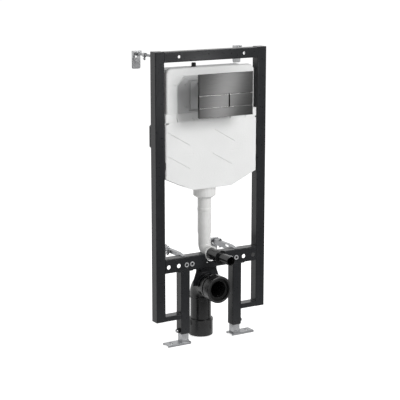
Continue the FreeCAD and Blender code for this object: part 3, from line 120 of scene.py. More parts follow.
class Finish:
    """A material under construction, with short ways to add the nodes that it needs."""

    def __init__(self, name, **sockets):
        self.material = bpy.data.materials.new(name)
        self.material.use_nodes = True
        self.tree = self.material.node_tree
        self.shader = self.tree.nodes["Principled BSDF"]
        self.place = self.tree.nodes.new("ShaderNodeTexCoord").outputs["Object"]
        for socket, value in sockets.items():
            self.shader.inputs[socket.replace("_", " ")].default_value = value

    def node(self, kind, inputs=None, **settings):
        """A node in this material's tree."""
        return add_node(self.tree, kind, inputs, settings)

    def noise(self, scale, detail, stretch=(1, 1, 1)):
        """A noise pattern on the object, squeezed along each axis by the stretch."""
        place = self.node("ShaderNodeMapping", {"Vector": self.place, "Scale": stretch}).outputs["Vector"]
        inputs = {"Vector": place, "Scale": scale, "Detail": detail}
        return self.node("ShaderNodeTexNoise", inputs).outputs["Fac"]

    def cells(self, scale, feature="F1", output="Distance"):
        """A pattern of packed cells on the object."""
        inputs = {"Vector": self.place, "Scale": scale}
        return self.node("ShaderNodeTexVoronoi", inputs, feature=feature).outputs[output]

    def spread(self, pattern, low, high, start=0.0, end=1.0):
        """The pattern, moved from the range start to end into the range low to high."""
        inputs = {"Value": pattern, "From Min": start, "From Max": end, "To Min": low, "To Max": high}
        return self.node("ShaderNodeMapRange", inputs).outputs["Result"]

    def sum(self, first, second):
        """Two patterns added up."""
        return self.node("ShaderNodeMath", {0: first, 1: second}, operation="ADD").outputs[0]

    def colour(self, pattern, dark, light, start=NOISE_LOW, end=NOISE_HIGH):
        """Colour the surface from dark to light along the pattern."""
        share = self.spread(pattern, 0.0, 1.0, start, end)
        mix = self.node("ShaderNodeMix", {0: share, 6: (*dark, 1.0), 7: (*light, 1.0)}, data_type="RGBA")
        self.tree.links.new(mix.outputs[2], self.shader.inputs["Base Color"])

    def roughness(self, pattern, low, high, start=NOISE_LOW, end=NOISE_HIGH):
        """Make the surface rougher from low to high along the pattern."""
        value = self.spread(pattern, low, high, start, end)
        self.tree.links.new(value, self.shader.inputs["Roughness"])

    def relief(self, height, depth, strength):
        """Raise the surface by the height pattern, depth in metres, on top of any relief before it."""
        inputs = {"Height": height, "Distance": depth, "Strength": strength}
        normal = self.shader.inputs["Normal"]
        if normal.links:
            inputs["Normal"] = normal.links[0].from_socket
        self.tree.links.new(self.node("ShaderNodeBump", inputs).outputs["Normal"], normal)


def powder_coat():
    """Anthracite powder coat: satin, a little blue, with a fine orange peel."""
    coat = Finish("anthracite_powder_coat", Specular_IOR_Level=0.42)
    clouds = coat.noise(scale=22.0, detail=4.0)
    flow = coat.noise(scale=90.0, detail=3.0)
    orange_peel = coat.noise(scale=420.0, detail=2.0)
    coat.colour(clouds, dark=(0.0155, 0.0165, 0.0185), light=(0.0195, 0.0205, 0.0230))
    coat.roughness(flow, low=0.27, high=0.30)
    coat.relief(orange_peel, depth=0.00006, strength=0.3)
    return coat.material


def zinc_sheet(name, metallic, dark, light):
    """Galvanised sheet: a faint spangle and dull patches."""
    zinc = Finish(name, Metallic=metallic, Specular_IOR_Level=0.5)
    spangle = zinc.spread(zinc.cells(scale=150.0, output="Color"), 0.0, 0.3)
    patches = zinc.spread(zinc.noise(scale=38.0, detail=4.0), 0.0, 0.7, NOISE_LOW, NOISE_HIGH)
    shade = zinc.sum(spangle, patches)
    zinc.colour(shade, dark, light, start=0.1, end=0.9)
    zinc.roughness(shade, low=0.27, high=0.34, start=0.0, end=1.0)
    zinc.relief(zinc.noise(scale=160.0, detail=3.0), depth=0.00003, strength=0.15)
    return zinc.material


def bright_steel():
    """Bright zinc plated steel for rods, bolts and feet, with fine drawn lines."""
    steel = Finish("bright_zinc_steel", Metallic=0.95, Specular_IOR_Level=0.5)
    tarnish = steel.noise(scale=45.0, detail=4.0)
    drawn_lines = steel.noise(scale=260.0, detail=3.0, stretch=(1, 1, 0.03))
    steel.colour(tarnish, dark=(0.40, 0.405, 0.415), light=(0.52, 0.525, 0.535))
    steel.roughness(drawn_lines, low=0.20, high=0.30)
    steel.relief(drawn_lines, depth=0.00002, strength=0.2)
    return steel.material


def bead_foam():
    """White expanded bead foam: packed beads a few millimetres across with fine gaps between them, painted
    darker as shade.
    """
    bead_scale = 300.0
    foam = Finish("white_bead_foam", Specular_IOR_Level=0.25, Roughness=0.82)
    beads = foam.cells(bead_scale, feature="SMOOTH_F1")
    gaps = foam.cells(bead_scale, feature="DISTANCE_TO_EDGE")
    clouds = foam.spread(foam.noise(scale=9.0, detail=3.0), 0.0, 0.7)
    # Painted shade: the colour darkens towards the gaps between the beads.
    shade = foam.sum(clouds, foam.spread(gaps, 0.0, 0.3, start=0.0, end=0.10))
    foam.colour(shade, dark=(0.835, 0.84, 0.835), light=(0.885, 0.89, 0.885), end=0.8)
    foam.relief(foam.spread(beads, 1.0, 0.0, start=0.0, end=0.8), depth=0.0009, strength=0.5)
    foam.relief(foam.spread(gaps, 0.0, 1.0, start=0.0, end=0.05), depth=0.0003, strength=0.3)
    return foam.material


def tank_grey(name, dark, light):
    """Blow moulded polyethylene, matt and slightly uneven."""
    plastic = Finish(name, Specular_IOR_Level=0.4)
    plastic.colour(plastic.noise(scale=16.0, detail=3.0), dark, light)
    plastic.roughness(plastic.noise(scale=70.0, detail=3.0), low=0.42, high=0.58)
    plastic.relief(plastic.noise(scale=650.0, detail=2.0), depth=0.00012, strength=0.4)
    plastic.relief(plastic.noise(scale=35.0, detail=2.0), depth=0.0008, strength=0.25)
    return plastic.material


def pipe_white():
    """White pipe plastic with faint lines from drawing."""
    pipe = Finish("white_pipe_plastic", Specular_IOR_Level=0.5)
    pipe.colour(pipe.noise(scale=30.0, detail=3.0), dark=(0.80, 0.80, 0.785), light=(0.85, 0.85, 0.84))
    pipe.roughness(pipe.noise(scale=110.0, detail=3.0, stretch=(1, 1, 0.15)), low=0.22, high=0.34)
    pipe.relief(pipe.noise(scale=240.0, detail=2.0, stretch=(1, 1, 0.08)), depth=0.00008, strength=0.3)
    return pipe.material


def waste_black(name, dark, light):
    """Black polyethylene with a waxy shine and dull scuffs."""
    wax = Finish(name, Specular_IOR_Level=0.5)
    scuffs = wax.noise(scale=55.0, detail=5.0)
    wax.colour(scuffs, dark, light)
    wax.roughness(scuffs, low=0.20, high=0.34)
    wax.relief(wax.noise(scale=500.0, detail=3.0), depth=0.00006, strength=0.35)
    wax.relief(wax.noise(scale=24.0, detail=2.0), depth=0.0008, strength=0.15)
    return wax.material


def moulded_black():
    """Black moulded plastic with a slight sheen."""
    black = Finish("black_moulded_plastic", Specular_IOR_Level=0.5)
    clouds = black.noise(scale=40.0, detail=3.0)
    black.colour(clouds, dark=(0.006, 0.006, 0.0065), light=(0.010, 0.010, 0.0105))
    black.roughness(black.noise(scale=160.0, detail=3.0), low=0.18, high=0.30)
    black.relief(black.noise(scale=1500.0, detail=2.0), depth=0.00005, strength=0.4)
    return black.material


def seal_rubber():
    """Black sealing rubber, matt with a dusty bloom."""
    rubber = Finish("sealing_rubber", Specular_IOR_Level=0.3)
    bloom = rubber.noise(scale=80.0, detail=4.0)
    rubber.colour(bloom, dark=(0.007, 0.007, 0.007), light=(0.014, 0.014, 0.014))
    rubber.roughness(bloom, low=0.45, high=0.62)
    rubber.relief(rubber.noise(scale=900.0, detail=2.0), depth=0.0001, strength=0.5)
    return rubber.material


def bore_shade_steel():
    """Dark steel inside a thread, painted dark as the shade inside the bore."""
    steel = Finish("thread_steel_painted_shade", Metallic=0.9)
    thread_tone = steel.noise(scale=300.0, detail=3.0)
    # Painted shade: the thread's colour is kept dark to stand for the shade in the bore.
    steel.colour(thread_tone, dark=(0.045, 0.045, 0.047), light=(0.085, 0.085, 0.088))
    steel.roughness(thread_tone, low=0.28, high=0.42)
    steel.relief(thread_tone, depth=0.00002, strength=0.2)
    return steel.material


def cut_edge():
    """Bright bare metal where the plate's coating is cut away along an edge."""
    edge = Finish("bright_cut_edge", Metallic=1.0)
    cut_lines = edge.noise(scale=900.0, detail=2.0, stretch=(0.05, 1, 1))
    edge.colour(cut_lines, dark=(0.68, 0.68, 0.67), light=(0.82, 0.82, 0.81))
    edge.roughness(cut_lines, low=0.16, high=0.24)
    edge.relief(cut_lines, depth=0.00001, strength=0.2)
    return edge.material


def weld_metal():
    """The frame's coat over a weld, with painted shade: darker in the dips of its fine relief."""
    weld = Finish("coated_weld", Specular_IOR_Level=0.45)
    scale_marks_and_dip_shade = weld.noise(scale=420.0, detail=4.0)
    # Painted shade: the colour darkens where the relief dips.
    weld.colour(scale_marks_and_dip_shade, dark=(0.0125, 0.0130, 0.0145), light=(0.0190, 0.0200, 0.0225))
    weld.roughness(scale_marks_and_dip_shade, low=0.28, high=0.42)
    weld.relief(scale_marks_and_dip_shade, depth=0.00012, strength=0.4)
    return weld.material


def brushed_gunmetal():
    """Dark coated metal with a very fine brushing from side to side."""
    metal = Finish("brushed_gunmetal", Metallic=1.0)
    strokes = metal.noise(scale=14.0, detail=5.0, stretch=(1.0, 40.0, 110.0))
    metal.colour(strokes, dark=(0.0820, 0.0818, 0.0815), light=(0.0960, 0.0957, 0.0953))
    metal.roughness(strokes, low=0.27, high=0.295)
    metal.relief(strokes, depth=0.000012, strength=0.3)
    return metal.material


POWDER_COAT = powder_coat()
ZINC = zinc_sheet("galvanised_steel", 0.9, (0.30, 0.305, 0.315), (0.38, 0.385, 0.395))
DULL_ZINC = zinc_sheet("dull_galvanised_steel", 0.45, (0.56, 0.565, 0.575), (0.64, 0.645, 0.655))
STEEL = bright_steel()
FOAM = bead_foam()
TANK_GREY = tank_grey("light_grey_tank_plastic", (0.52, 0.525, 0.53), (0.58, 0.585, 0.59))
COVER_GREY = tank_grey("mid_grey_cover_plastic", (0.50, 0.502, 0.505), (0.56, 0.562, 0.565))
PIPE_WHITE = pipe_white()
WASTE_BLACK = waste_black("black_waste_polyethylene", (0.009, 0.009, 0.0095), (0.016, 0.016, 0.0165))
INLET_BLACK = waste_black("black_inlet_polyethylene", (0.024, 0.024, 0.0245), (0.034, 0.034, 0.0345))
MOULDED_BLACK = moulded_black()
RUBBER = seal_rubber()
GUNMETAL = brushed_gunmetal()
CUT_EDGE = cut_edge()
BORE_SHADE_STEEL = bore_shade_steel()
WELD = weld_metal()


# Pieces taken over from the solids

MERGE_DISTANCE = 0.01 * MM
FLAT_ANGLE = math.radians(0.6)
SHARP_ANGLE = math.radians(30.0)
EDGE_STEPS = 2


def finished_mesh(holder):
    """The holder's mesh with all its modifiers worked in. The holder is removed."""
    shown = holder.evaluated_get(bpy.context.evaluated_depsgraph_get())
    mesh = bpy.data.meshes.new_from_object(shown)
    bpy.data.objects.remove(holder)
    return mesh


def add_piece(name, mesh, material, node, stands_in=False):
    """Put a finished mesh in the scene under a material, on a node's body, hiding the node when the mesh
    stands in for it.
    """
    mesh.materials.clear()
    mesh.materials.append(material)
    piece = in_scene(name, mesh)
    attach(piece, BODY_OF[node])
    if stands_in:
        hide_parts(node)


def clean_mesh(node):
    """A merged copy of a node's loose triangles, with its flat faces joined up."""
    work = bmesh.new()
    work.from_mesh(frame["nodes"][node].data)
    bmesh.ops.remove_doubles(work, verts=work.verts, dist=MERGE_DISTANCE)
    bmesh.ops.dissolve_limit(work, angle_limit=FLAT_ANGLE, verts=work.verts, edges=work.edges)
    work.verts.index_update()
    points = [vert.co.copy() for vert in work.verts]
    faces = [[vert.index for vert in face.verts] for face in work.faces]
    work.free()
    mesh = bpy.data.meshes.new(node + "_clean")
    mesh.from_pydata(points, [], faces)
    return mesh


def rounded_mesh(mesh, edge):
    """The mesh with its hard edges rounded by a radius in millimetres, and evenly shaded."""
    mesh.shade_smooth()
    mesh.set_sharp_from_angle(angle=SHARP_ANGLE)
    holder = in_scene("holder", mesh)
    bevel = holder.modifiers.new("edges", "BEVEL")
    bevel.width = edge * MM
    bevel.segments = EDGE_STEPS
    bevel.limit_method = "ANGLE"
    bevel.angle_limit = SHARP_ANGLE
    bevel.use_clamp_overlap = True
    even = holder.modifiers.new("shading", "WEIGHTED_NORMAL")
    even.keep_sharp = True
    return finished_mesh(holder)


# Each solid under its finish, with the radius of its rounded edges in millimetres
DRESSED = {
    POWDER_COAT: {"left_post": 0.4, "right_post": 0.4, "left_leg": 0.4, "right_leg": 0.4, "top_rail": 0.5,
                  "cross_rail": 0.5, "leg_saddles": 0.4, "bottom_bars": 0.4, "waste_bracket": 0.6,
                  "tank_straps": 0.8},
    ZINC: {"struts": 0.3, "left_foot_plate": 0.4, "right_foot_plate": 0.4, "bend_clip": 0.3},
    DULL_ZINC: {"left_upper_wall_plate": 0.4, "right_upper_wall_plate": 0.4, "lower_wall_plates": 0.4,
                "stud_inserts": 0.3},
    STEEL: {"left_foot_tube": 0.3, "right_foot_tube": 0.3, "strut_bolts": 0.3, "lock_bolts": 0.3,
            "rod_nuts": 0.3, "rod_hooks": 0.4},
    MOULDED_BLACK: {"post_caps": 0.5, "leg_guides": 0.4, "lock_washers": 0.4, "tank_plug": 0.5,
                    "flush_sleeve": 0.6, "plate_carrier": 0.5},
    WASTE_BLACK: {"waste_bend": 0.4, "waste_ring": 0.5, "floor_socket": 0.8},
    INLET_BLACK: {"waste_inlet": 0.8},
    RUBBER: {"inlet_seal": 0.5},
    FOAM: {"lower_shell": 1.2},
    TANK_GREY: {"tank": 3.0},
    COVER_GREY: {"service_frame": 0.6, "valve_housing": 0.8},
    PIPE_WHITE: {"outlet_nut": 0.8, "flush_pipe": 0.5, "flush_bend": 0.5, "full_flush_rod": 0.4,
                 "half_flush_rod": 0.4},
    GUNMETAL: {"plate_panels": 0.3, "full_flush_button": 0.3, "half_flush_button": 0.3},
}
for finish, edges in DRESSED.items():
    for node, edge in edges.items():
        add_piece(node + "_finished", rounded_mesh(clean_mesh(node), edge), finish, node, stands_in=True)


def notched_mesh(mesh, centres, size):
    """The mesh with a narrow box of a size in metres cut out at each centre."""
    work = bmesh.new()
    for centre in centres:
        box = bmesh.ops.create_cube(work, size=1.0)["verts"]
        bmesh.ops.scale(work, vec=size, verts=box)
        bmesh.ops.translate(work, vec=centre, verts=box)
    boxes = bpy.data.meshes.new("notches")
    work.to_mesh(boxes)
    work.free()
    cutter = in_scene("cutter", boxes)
    holder = in_scene("holder", mesh)
    cut = holder.modifiers.new("notches", "BOOLEAN")
    cut.object = cutter
    cut.operation = "DIFFERENCE"
    done = finished_mesh(holder)
    bpy.data.objects.remove(cutter)
    return done


# The upper shell has four narrow hand notches in its bottom edge, two each side.
NOTCH_X = (-153.0, -84.0, 84.0, 153.0)
NOTCH_Y = 4.0
NOTCH_SIZE = (0.003, 0.012, 0.026)
UPPER_SHELL_EDGE = 0.7

notch_places = [at(x, NOTCH_Y, SHELL_PARTING) for x in NOTCH_X]
notched_shell = notched_mesh(clean_mesh("upper_shell"), notch_places, NOTCH_SIZE)
upper_shell = rounded_mesh(notched_shell, UPPER_SHELL_EDGE)
add_piece("upper_shell_finished", upper_shell, FOAM, "upper_shell", stands_in=True)


# Pieces grown by Geometry Nodes

TOWARDS_WALL = (math.radians(-90.0), 0.0, 0.0)
TOWARDS_ROOM = (math.radians(90.0), 0.0, 0.0)

# How finely each round form is divided
ROD_THREAD_STEPS = 16
LINING_THREAD_STEPS = 24
RIDGE_SIDES = 4
ROD_SIDES = 32
BORE_SIDES = 48
BEAD_SIDES = 10
BEAD_CORNER_STEPS = 24
SCREW_SIDES = 24
SCREW_RINGS = 12

# Shares: of the pitch, of a ripple's length and of the screw head's radius
ROD_THREAD_DEPTH = 0.5
LINING_THREAD_DEPTH = 0.08
RIPPLE_STEP = 0.25
RECESS_LENGTH = 1.15
RECESS_WIDTH = 0.24


def growing_tree(name, *sizes):
    """A Geometry Nodes tree with named inputs for its start, its sizes and its finish."""
    tree = bpy.data.node_groups.new(name, "GeometryNodeTree")
    tree.interface.new_socket("Start", in_out="INPUT", socket_type="NodeSocketGeometry")
    for size in sizes:
        tree.interface.new_socket(size, in_out="INPUT", socket_type="NodeSocketFloat")
    tree.interface.new_socket("Finish", in_out="INPUT", socket_type="NodeSocketMaterial")
    tree.interface.new_socket("Mesh", in_out="OUTPUT", socket_type="NodeSocketGeometry")
    return tree, tree.nodes.new("NodeGroupInput").outputs


def math_node(tree, operation, first, second=0.0):
    """The result of one operation on two numbers or sockets."""
    return add_node(tree, "ShaderNodeMath", {0: first, 1: second}, {"operation": operation}).outputs[0]


def halved(tree, value):
    """Half of a number."""
    return math_node(tree, "MULTIPLY", value, 0.5)


def vector_node(tree, **parts):
    """A vector from its named parts."""
    return add_node(tree, "ShaderNodeCombineXYZ", parts).outputs[0]


def circle(tree, sides, radius):
    """A round curve."""
    inputs = {"Resolution": sides, "Radius": radius}
    return add_node(tree, "GeometryNodeCurvePrimitiveCircle", inputs).outputs[0]


def swept(tree, path, section, caps=False):
    """A section drawn along a path."""
    inputs = {"Curve": path, "Profile Curve": section, "Fill Caps": caps}
    return add_node(tree, "GeometryNodeCurveToMesh", inputs).outputs[0]


def raised(tree, geometry, height):
    """The geometry, moved up by a height."""
    inputs = {"Geometry": geometry, "Translation": vector_node(tree, Z=height)}
    return add_node(tree, "GeometryNodeTransform", inputs).outputs[0]


def joined(tree, *parts):
    """Several geometries as one."""
    together = tree.nodes.new("GeometryNodeJoinGeometry")
    for part in parts:
        tree.links.new(part, together.inputs[0])
    return together.outputs[0]


def end_tree(tree, geometry, finish):
    """Make the instances real, give them their finish and close the tree."""
    real = add_node(tree, "GeometryNodeRealizeInstances", {"Geometry": geometry}).outputs[0]
    done = add_node(tree, "GeometryNodeSetMaterial", {"Geometry": real, "Material": finish}).outputs[0]
    add_node(tree, "NodeGroupOutput", {0: done})


def end_with_copies(tree, inputs, geometry, turn):
    """Set a turned copy on each start point and close the tree."""
    copies = add_node(tree, "GeometryNodeInstanceOnPoints", {
        "Points": inputs["Start"], "Instance": geometry, "Rotation": turn}).outputs[0]
    end_tree(tree, copies, inputs["Finish"])


def grown_mesh(tree, start, material, **sizes):
    """The plain mesh that a tree makes from a start mesh with the sizes given, in metres."""
    holder = in_scene("holder", start)
    grow = holder.modifiers.new("grow", "NODES")
    grow.node_group = tree
    given = {name.replace("_", " "): value for name, value in sizes.items()}
    given["Finish"] = material
    for socket in tree.interface.items_tree:
        if socket.name in given:
            grow[socket.identifier] = given[socket.name]
    return finished_mesh(holder)


def start_mesh(points, edges=()):
    """A mesh of loose points or edges for a tree to start from."""
    mesh = bpy.data.meshes.new("start")
    mesh.from_pydata(points, edges, [])
    return mesh


def paths_mesh(*paths):
    """Open paths as a mesh of loose edges."""
    points, edges = [], []
    for path in paths:
        edges += [(len(points) + step, len(points) + step + 1) for step in range(len(path) - 1)]
        points += path
    return start_mesh(points, edges)


def thread_ridge(tree, inputs, radius, depth, steps):
    """The ridge of a screw thread that climbs along z around a radius."""
    pitch = inputs["Pitch"]
    travel = math_node(tree, "SUBTRACT", inputs["Length"], pitch)
    turns = math_node(tree, "DIVIDE", travel, pitch)
    helix = add_node(tree, "GeometryNodeCurveSpiral", {
        "Resolution": steps, "Rotations": turns, "Start Radius": radius, "End Radius": radius,
        "Height": travel}).outputs[0]
    upright = add_node(tree, "GeometryNodeSetCurveNormal", {"Curve": helix}, {"mode": "Z_UP"}).outputs[0]
    ridge = swept(tree, upright, circle(tree, RIDGE_SIDES, depth), caps=True)
    return raised(tree, ridge, halved(tree, pitch))


def threaded_rod_tree():
    """A rod with a screw thread from each start point towards the wall."""
    tree, inputs = growing_tree("threaded_rod", "Radius", "Pitch", "Length")
    length = inputs["Length"]
    depth = math_node(tree, "MULTIPLY", inputs["Pitch"], ROD_THREAD_DEPTH)
    root = math_node(tree, "SUBTRACT", inputs["Radius"], depth)
    thread = thread_ridge(tree, inputs, root, depth, ROD_THREAD_STEPS)
    core = add_node(tree, "GeometryNodeMeshCylinder", {
        "Vertices": ROD_SIDES, "Radius": root, "Depth": length}).outputs["Mesh"]
    core = raised(tree, core, halved(tree, length))
    end_with_copies(tree, inputs, joined(tree, core, thread), TOWARDS_WALL)
    return tree


def thread_lining_tree():
    """The thread inside a bore, from each start point towards the wall: a thin ring wall and its ridge."""
    tree, inputs = growing_tree("thread_lining", "Radius", "Pitch", "Length")
    radius, length = inputs["Radius"], inputs["Length"]
    depth = math_node(tree, "MULTIPLY", inputs["Pitch"], LINING_THREAD_DEPTH)
    inner = math_node(tree, "SUBTRACT", radius, depth)
    thread = thread_ridge(tree, inputs, inner, depth, LINING_THREAD_STEPS)
    middle = math_node(tree, "SUBTRACT", radius, halved(tree, depth))
    section = add_node(tree, "GeometryNodeCurvePrimitiveQuadrilateral", {"Width": depth, "Height": length})
    wall = swept(tree, circle(tree, BORE_SIDES, middle), section.outputs[0])
    wall = raised(tree, wall, halved(tree, length))
    end_with_copies(tree, inputs, joined(tree, wall, thread), TOWARDS_WALL)
    return tree


def bead_tree():
    """A round bead along each start path, with rounded corners and ripples as a weld has."""
    tree, inputs = growing_tree("bead", "Radius", "Corner Radius", "Ripple Spacing", "Ripple Depth")
    path = add_node(tree, "GeometryNodeMeshToCurve", {"Mesh": inputs["Start"]}).outputs[0]
    path = add_node(tree, "GeometryNodeFilletCurve", {
        "Curve": path, "Radius": inputs["Corner Radius"], "Count": BEAD_CORNER_STEPS, "Limit Radius": True},
        {"mode": "POLY"}).outputs[0]
    step = math_node(tree, "MULTIPLY", inputs["Ripple Spacing"], RIPPLE_STEP)
    path = add_node(tree, "GeometryNodeResampleCurve", {"Curve": path, "Length": step},
                    {"mode": "LENGTH"}).outputs[0]
    run = tree.nodes.new("GeometryNodeSplineParameter").outputs["Length"]
    ripples = math_node(tree, "DIVIDE", run, inputs["Ripple Spacing"])
    wave = math_node(tree, "SINE", math_node(tree, "MULTIPLY", ripples, 2.0 * math.pi))
    swell = math_node(tree, "ADD", math_node(tree, "MULTIPLY", wave, inputs["Ripple Depth"]), 1.0)
    path = add_node(tree, "GeometryNodeSetCurveRadius", {"Curve": path, "Radius": swell}).outputs[0]
    bead = swept(tree, path, circle(tree, BEAD_SIDES, inputs["Radius"]), caps=True)
    end_tree(tree, bead, inputs["Finish"])
    return tree


def screw_tree():
    """A domed screw head with a cross recess on each start point, facing the room."""
    tree, inputs = growing_tree("cross_recess_screw", "Head Radius", "Head Height")
    radius, height = inputs["Head Radius"], inputs["Head Height"]
    ball = add_node(tree, "GeometryNodeMeshUVSphere", {
        "Segments": SCREW_SIDES, "Rings": SCREW_RINGS, "Radius": 1.0}).outputs["Mesh"]
    dome = add_node(tree, "GeometryNodeTransform", {
        "Geometry": ball, "Scale": vector_node(tree, X=radius, Y=radius, Z=height)}).outputs[0]
    long_side = math_node(tree, "MULTIPLY", radius, RECESS_LENGTH)
    short_side = math_node(tree, "MULTIPLY", radius, RECESS_WIDTH)
    slots = []
    for across, along in ((long_side, short_side), (short_side, long_side)):
        size = vector_node(tree, X=across, Y=along, Z=height)
        box = add_node(tree, "GeometryNodeMeshCube", {"Size": size}).outputs["Mesh"]
        slots.append(raised(tree, box, height))
    head = add_node(tree, "GeometryNodeMeshBoolean", {"Mesh 1": dome, "Mesh 2": joined(tree, *slots)},
                    {"operation": "DIFFERENCE", "solver": "EXACT"})
    head.inputs["Self Intersection"].default_value = True
    end_with_copies(tree, inputs, head.outputs[0], TOWARDS_ROOM)
    return tree


THREADED_ROD = threaded_rod_tree()
THREAD_LINING = thread_lining_tree()
BEAD = bead_tree()
SCREW = screw_tree()

# Sizes of the threads, in metres: M10 rods from the posts to the wall plates, M6 rods that hold the
# flush plate, and M12 threads inside the four stud inserts.
M10_ROD = {"Radius": 0.005, "Pitch": 0.0015, "Length": 0.1475}
M6_ROD = {"Radius": 0.003, "Pitch": 0.0010, "Length": 0.1070}
M12_BORE = {"Radius": 0.0051, "Pitch": 0.00175, "Length": 0.0196}
WALL_ROD_START = (POST_X, 29.5, 1139.0)
PLATE_ROD_START = (55.0, -90.0, 1030.0)
STUD_X = (90.0, 115.0)
STUD_MOUTH_Y = -0.9
STUD_Z = 324.5

for node, sizes, start in (("wall_rods", M10_ROD, WALL_ROD_START), ("fixing_rods", M6_ROD, PLATE_ROD_START)):
    rods = grown_mesh(THREADED_ROD, start_mesh(mirrored(start)), STEEL, **sizes)
    add_piece(node + "_threaded", rods, STEEL, node, stands_in=True)

stud_mouths = mirrored(*[(x, STUD_MOUTH_Y, STUD_Z) for x in STUD_X])
# The threads carry a dark finish: painted shade inside the bores.
stud_threads = grown_mesh(THREAD_LINING, start_mesh(stud_mouths), BORE_SHADE_STEEL, **M12_BORE)
add_piece("stud_insert_threads", stud_threads, BORE_SHADE_STEEL, "stud_inserts")


def add_beads(name, node, material, paths, radius, corner=0.0, spacing=0.008, depth=0.0):
    """Put a bead along each path on a node's body. The sizes are in metres, the depth is a share."""
    beads = grown_mesh(BEAD, paths_mesh(*paths), material, Radius=radius, Corner_Radius=corner,
                       Ripple_Spacing=spacing, Ripple_Depth=depth)
    beads.shade_smooth()
    add_piece(name, beads, material, node)


# Welds: short beads in the frame's corners, from front to back and up the back of the bottom bars.
WELD_RADIUS = 0.0019
WELD_SPACING = 0.0022
WELD_DEPTH = 0.16
WELD_FRONT_Y = 4.0
WELD_BACK_Y = 37.0
BAR_BACK_Y = 39.6
BAR_WELD_Z = (109.0, 126.0)
WELDED_CORNERS = ((POST_INNER_X, CROSS_RAIL_TOP), (POST_INNER_X, CROSS_RAIL_BOTTOM),
                  (POST_INNER_X, TOP_RAIL_BOTTOM), (POST_INNER_X, BAR_TOP), (LEG_OUTER_X, BAR_TOP),
                  (LEG_OUTER_X, BAR_BOTTOM), (LEG_OUTER_X, LEG_TOP), (LEG_INNER_X, LEG_TOP))

weld_lines = []
for side in SIDES:
    for x, z in WELDED_CORNERS:
        weld_lines.append([at(side * x, y, z) for y in (WELD_FRONT_Y, WELD_BACK_Y)])
    for x in (POST_INNER_X, LEG_OUTER_X):
        weld_lines.append([at(side * x, BAR_BACK_Y, z) for z in BAR_WELD_Z])
add_beads("frame_welds", "left_post", WELD, weld_lines, WELD_RADIUS, spacing=WELD_SPACING, depth=WELD_DEPTH)

# Mould seams: a thin raised line round the back of each plastic bend, in its middle plane. It keeps
# the pipe's radius from the bend's own line.
WASTE_Y = 85.0
WASTE_Z = 220.0
WASTE_RADIUS = 44.0
WASTE_TURN = 48.0
WASTE_SEAM_ENDS = (-3.0, 168.0)
WASTE_SEAM_RADIUS = 0.0006
FLUSH_Y = 57.0
FLUSH_Z = 355.0
FLUSH_RADIUS = 25.2
FLUSH_TURN = 34.0
FLUSH_SEAM_ENDS = (14.0, 426.0)
FLUSH_SEAM_RADIUS = 0.0005

front_y, low_z = WASTE_SEAM_ENDS
back_y, top_z = WASTE_Y + WASTE_RADIUS, WASTE_Z + WASTE_RADIUS
waste_seam = [at(0, front_y, top_z), at(0, back_y, top_z), at(0, back_y, low_z)]
add_beads("waste_bend_seam", "waste_bend", WASTE_BLACK, [waste_seam], WASTE_SEAM_RADIUS,
          corner=(WASTE_TURN + WASTE_RADIUS) * MM)

front_y, top_z = FLUSH_SEAM_ENDS
back_y, low_z = FLUSH_Y + FLUSH_RADIUS, FLUSH_Z - FLUSH_RADIUS
flush_seam = [at(0, back_y, top_z), at(0, back_y, low_z), at(0, front_y, low_z)]
add_beads("flush_bend_seam", "flush_bend", PIPE_WHITE, [flush_seam], FLUSH_SEAM_RADIUS,
          corner=(FLUSH_TURN + FLUSH_RADIUS) * MM)

# Bright edges along the top and the bottom of each button.
BUTTON_ENDS = {"full_flush_button": (-119.4, 10.4), "half_flush_button": (15.6, 119.4)}
BUTTON_FACE_Y = -102.5
BUTTON_EDGES_Z = (949.4, 996.6)
BUTTON_EDGE_RADIUS = 0.0006
BUTTON_EDGE_STEP = 0.02

for node, ends in BUTTON_ENDS.items():
    edge_lines = [[at(x, BUTTON_FACE_Y, z) for x in ends] for z in BUTTON_EDGES_Z]
    add_beads(node + "_edges", node, CUT_EDGE, edge_lines, BUTTON_EDGE_RADIUS, spacing=BUTTON_EDGE_STEP)

# Screws in the four bosses of the service frame.
BOSS_X = 109.0
BOSS_FACE_Y = 14.2
BOSS_Z = (942.0, 1028.0)
SCREW_RADIUS = 0.0036
SCREW_HEIGHT = 0.0020
SCREW_SHARP_ANGLE = math.radians(40.0)

bosses = mirrored(*[(BOSS_X, BOSS_FACE_Y, z) for z in BOSS_Z])
screws = grown_mesh(SCREW, start_mesh(bosses), DULL_ZINC, Head_Radius=SCREW_RADIUS, Head_Height=SCREW_HEIGHT)
screws.shade_smooth()
screws.set_sharp_from_angle(angle=SCREW_SHARP_ANGLE)
add_piece("service_frame_screws", screws, DULL_ZINC, "service_frame")


# The studio

# How strong the even fill and the dim side of the room are, where 1 is white
FILL_STRENGTH = 0.36
ROOM_DIM = 0.18

# Where the room turns from its dim side to its bright side, along y: a direction and a place
WORLD_TURN = (-0.45, 0.10)
FLOOR_TURN = (-0.75, -0.10)

WHITE = (1.0, 1.0, 1.0, 1.0)
FLOOR_COLOUR = (0.85, 0.85, 0.85, 1.0)
FLOOR_LIFT = 0.75
FLOOR_GLOSS = 0.9
FLOOR_HALF_SIZE = 30.0
FLOOR_Z = cad_box[0][2]
PART_MIDDLE = (0.23, -0.15, -0.52)
BOX_SIZE = 1.8


def share_of_rays(tree, *kinds):
    """1 for rays of the named kinds, 0 for the others."""
    rays = tree.nodes.new("ShaderNodeLightPath")
    share = rays.outputs[kinds[0]]
    for kind in kinds[1:]:
        share = math_node(tree, "MAXIMUM", share, rays.outputs[kind])
    return share


def blended(tree, share, low, high):
    """A number that goes from low to high with the share."""
    return add_node(tree, "ShaderNodeMix", {0: share, 2: low, 3: high}, {"data_type": "FLOAT"}).outputs[0]


def towards_wall(tree, place, turn):
    """0 on the camera's side of the object and 1 behind it, turning over between two values of y."""
    y = add_node(tree, "ShaderNodeSeparateXYZ", {0: place}).outputs["Y"]
    inputs = {"Value": y, "From Min": turn[0], "From Max": turn[1]}
    return add_node(tree, "ShaderNodeMapRange", inputs).outputs["Result"]


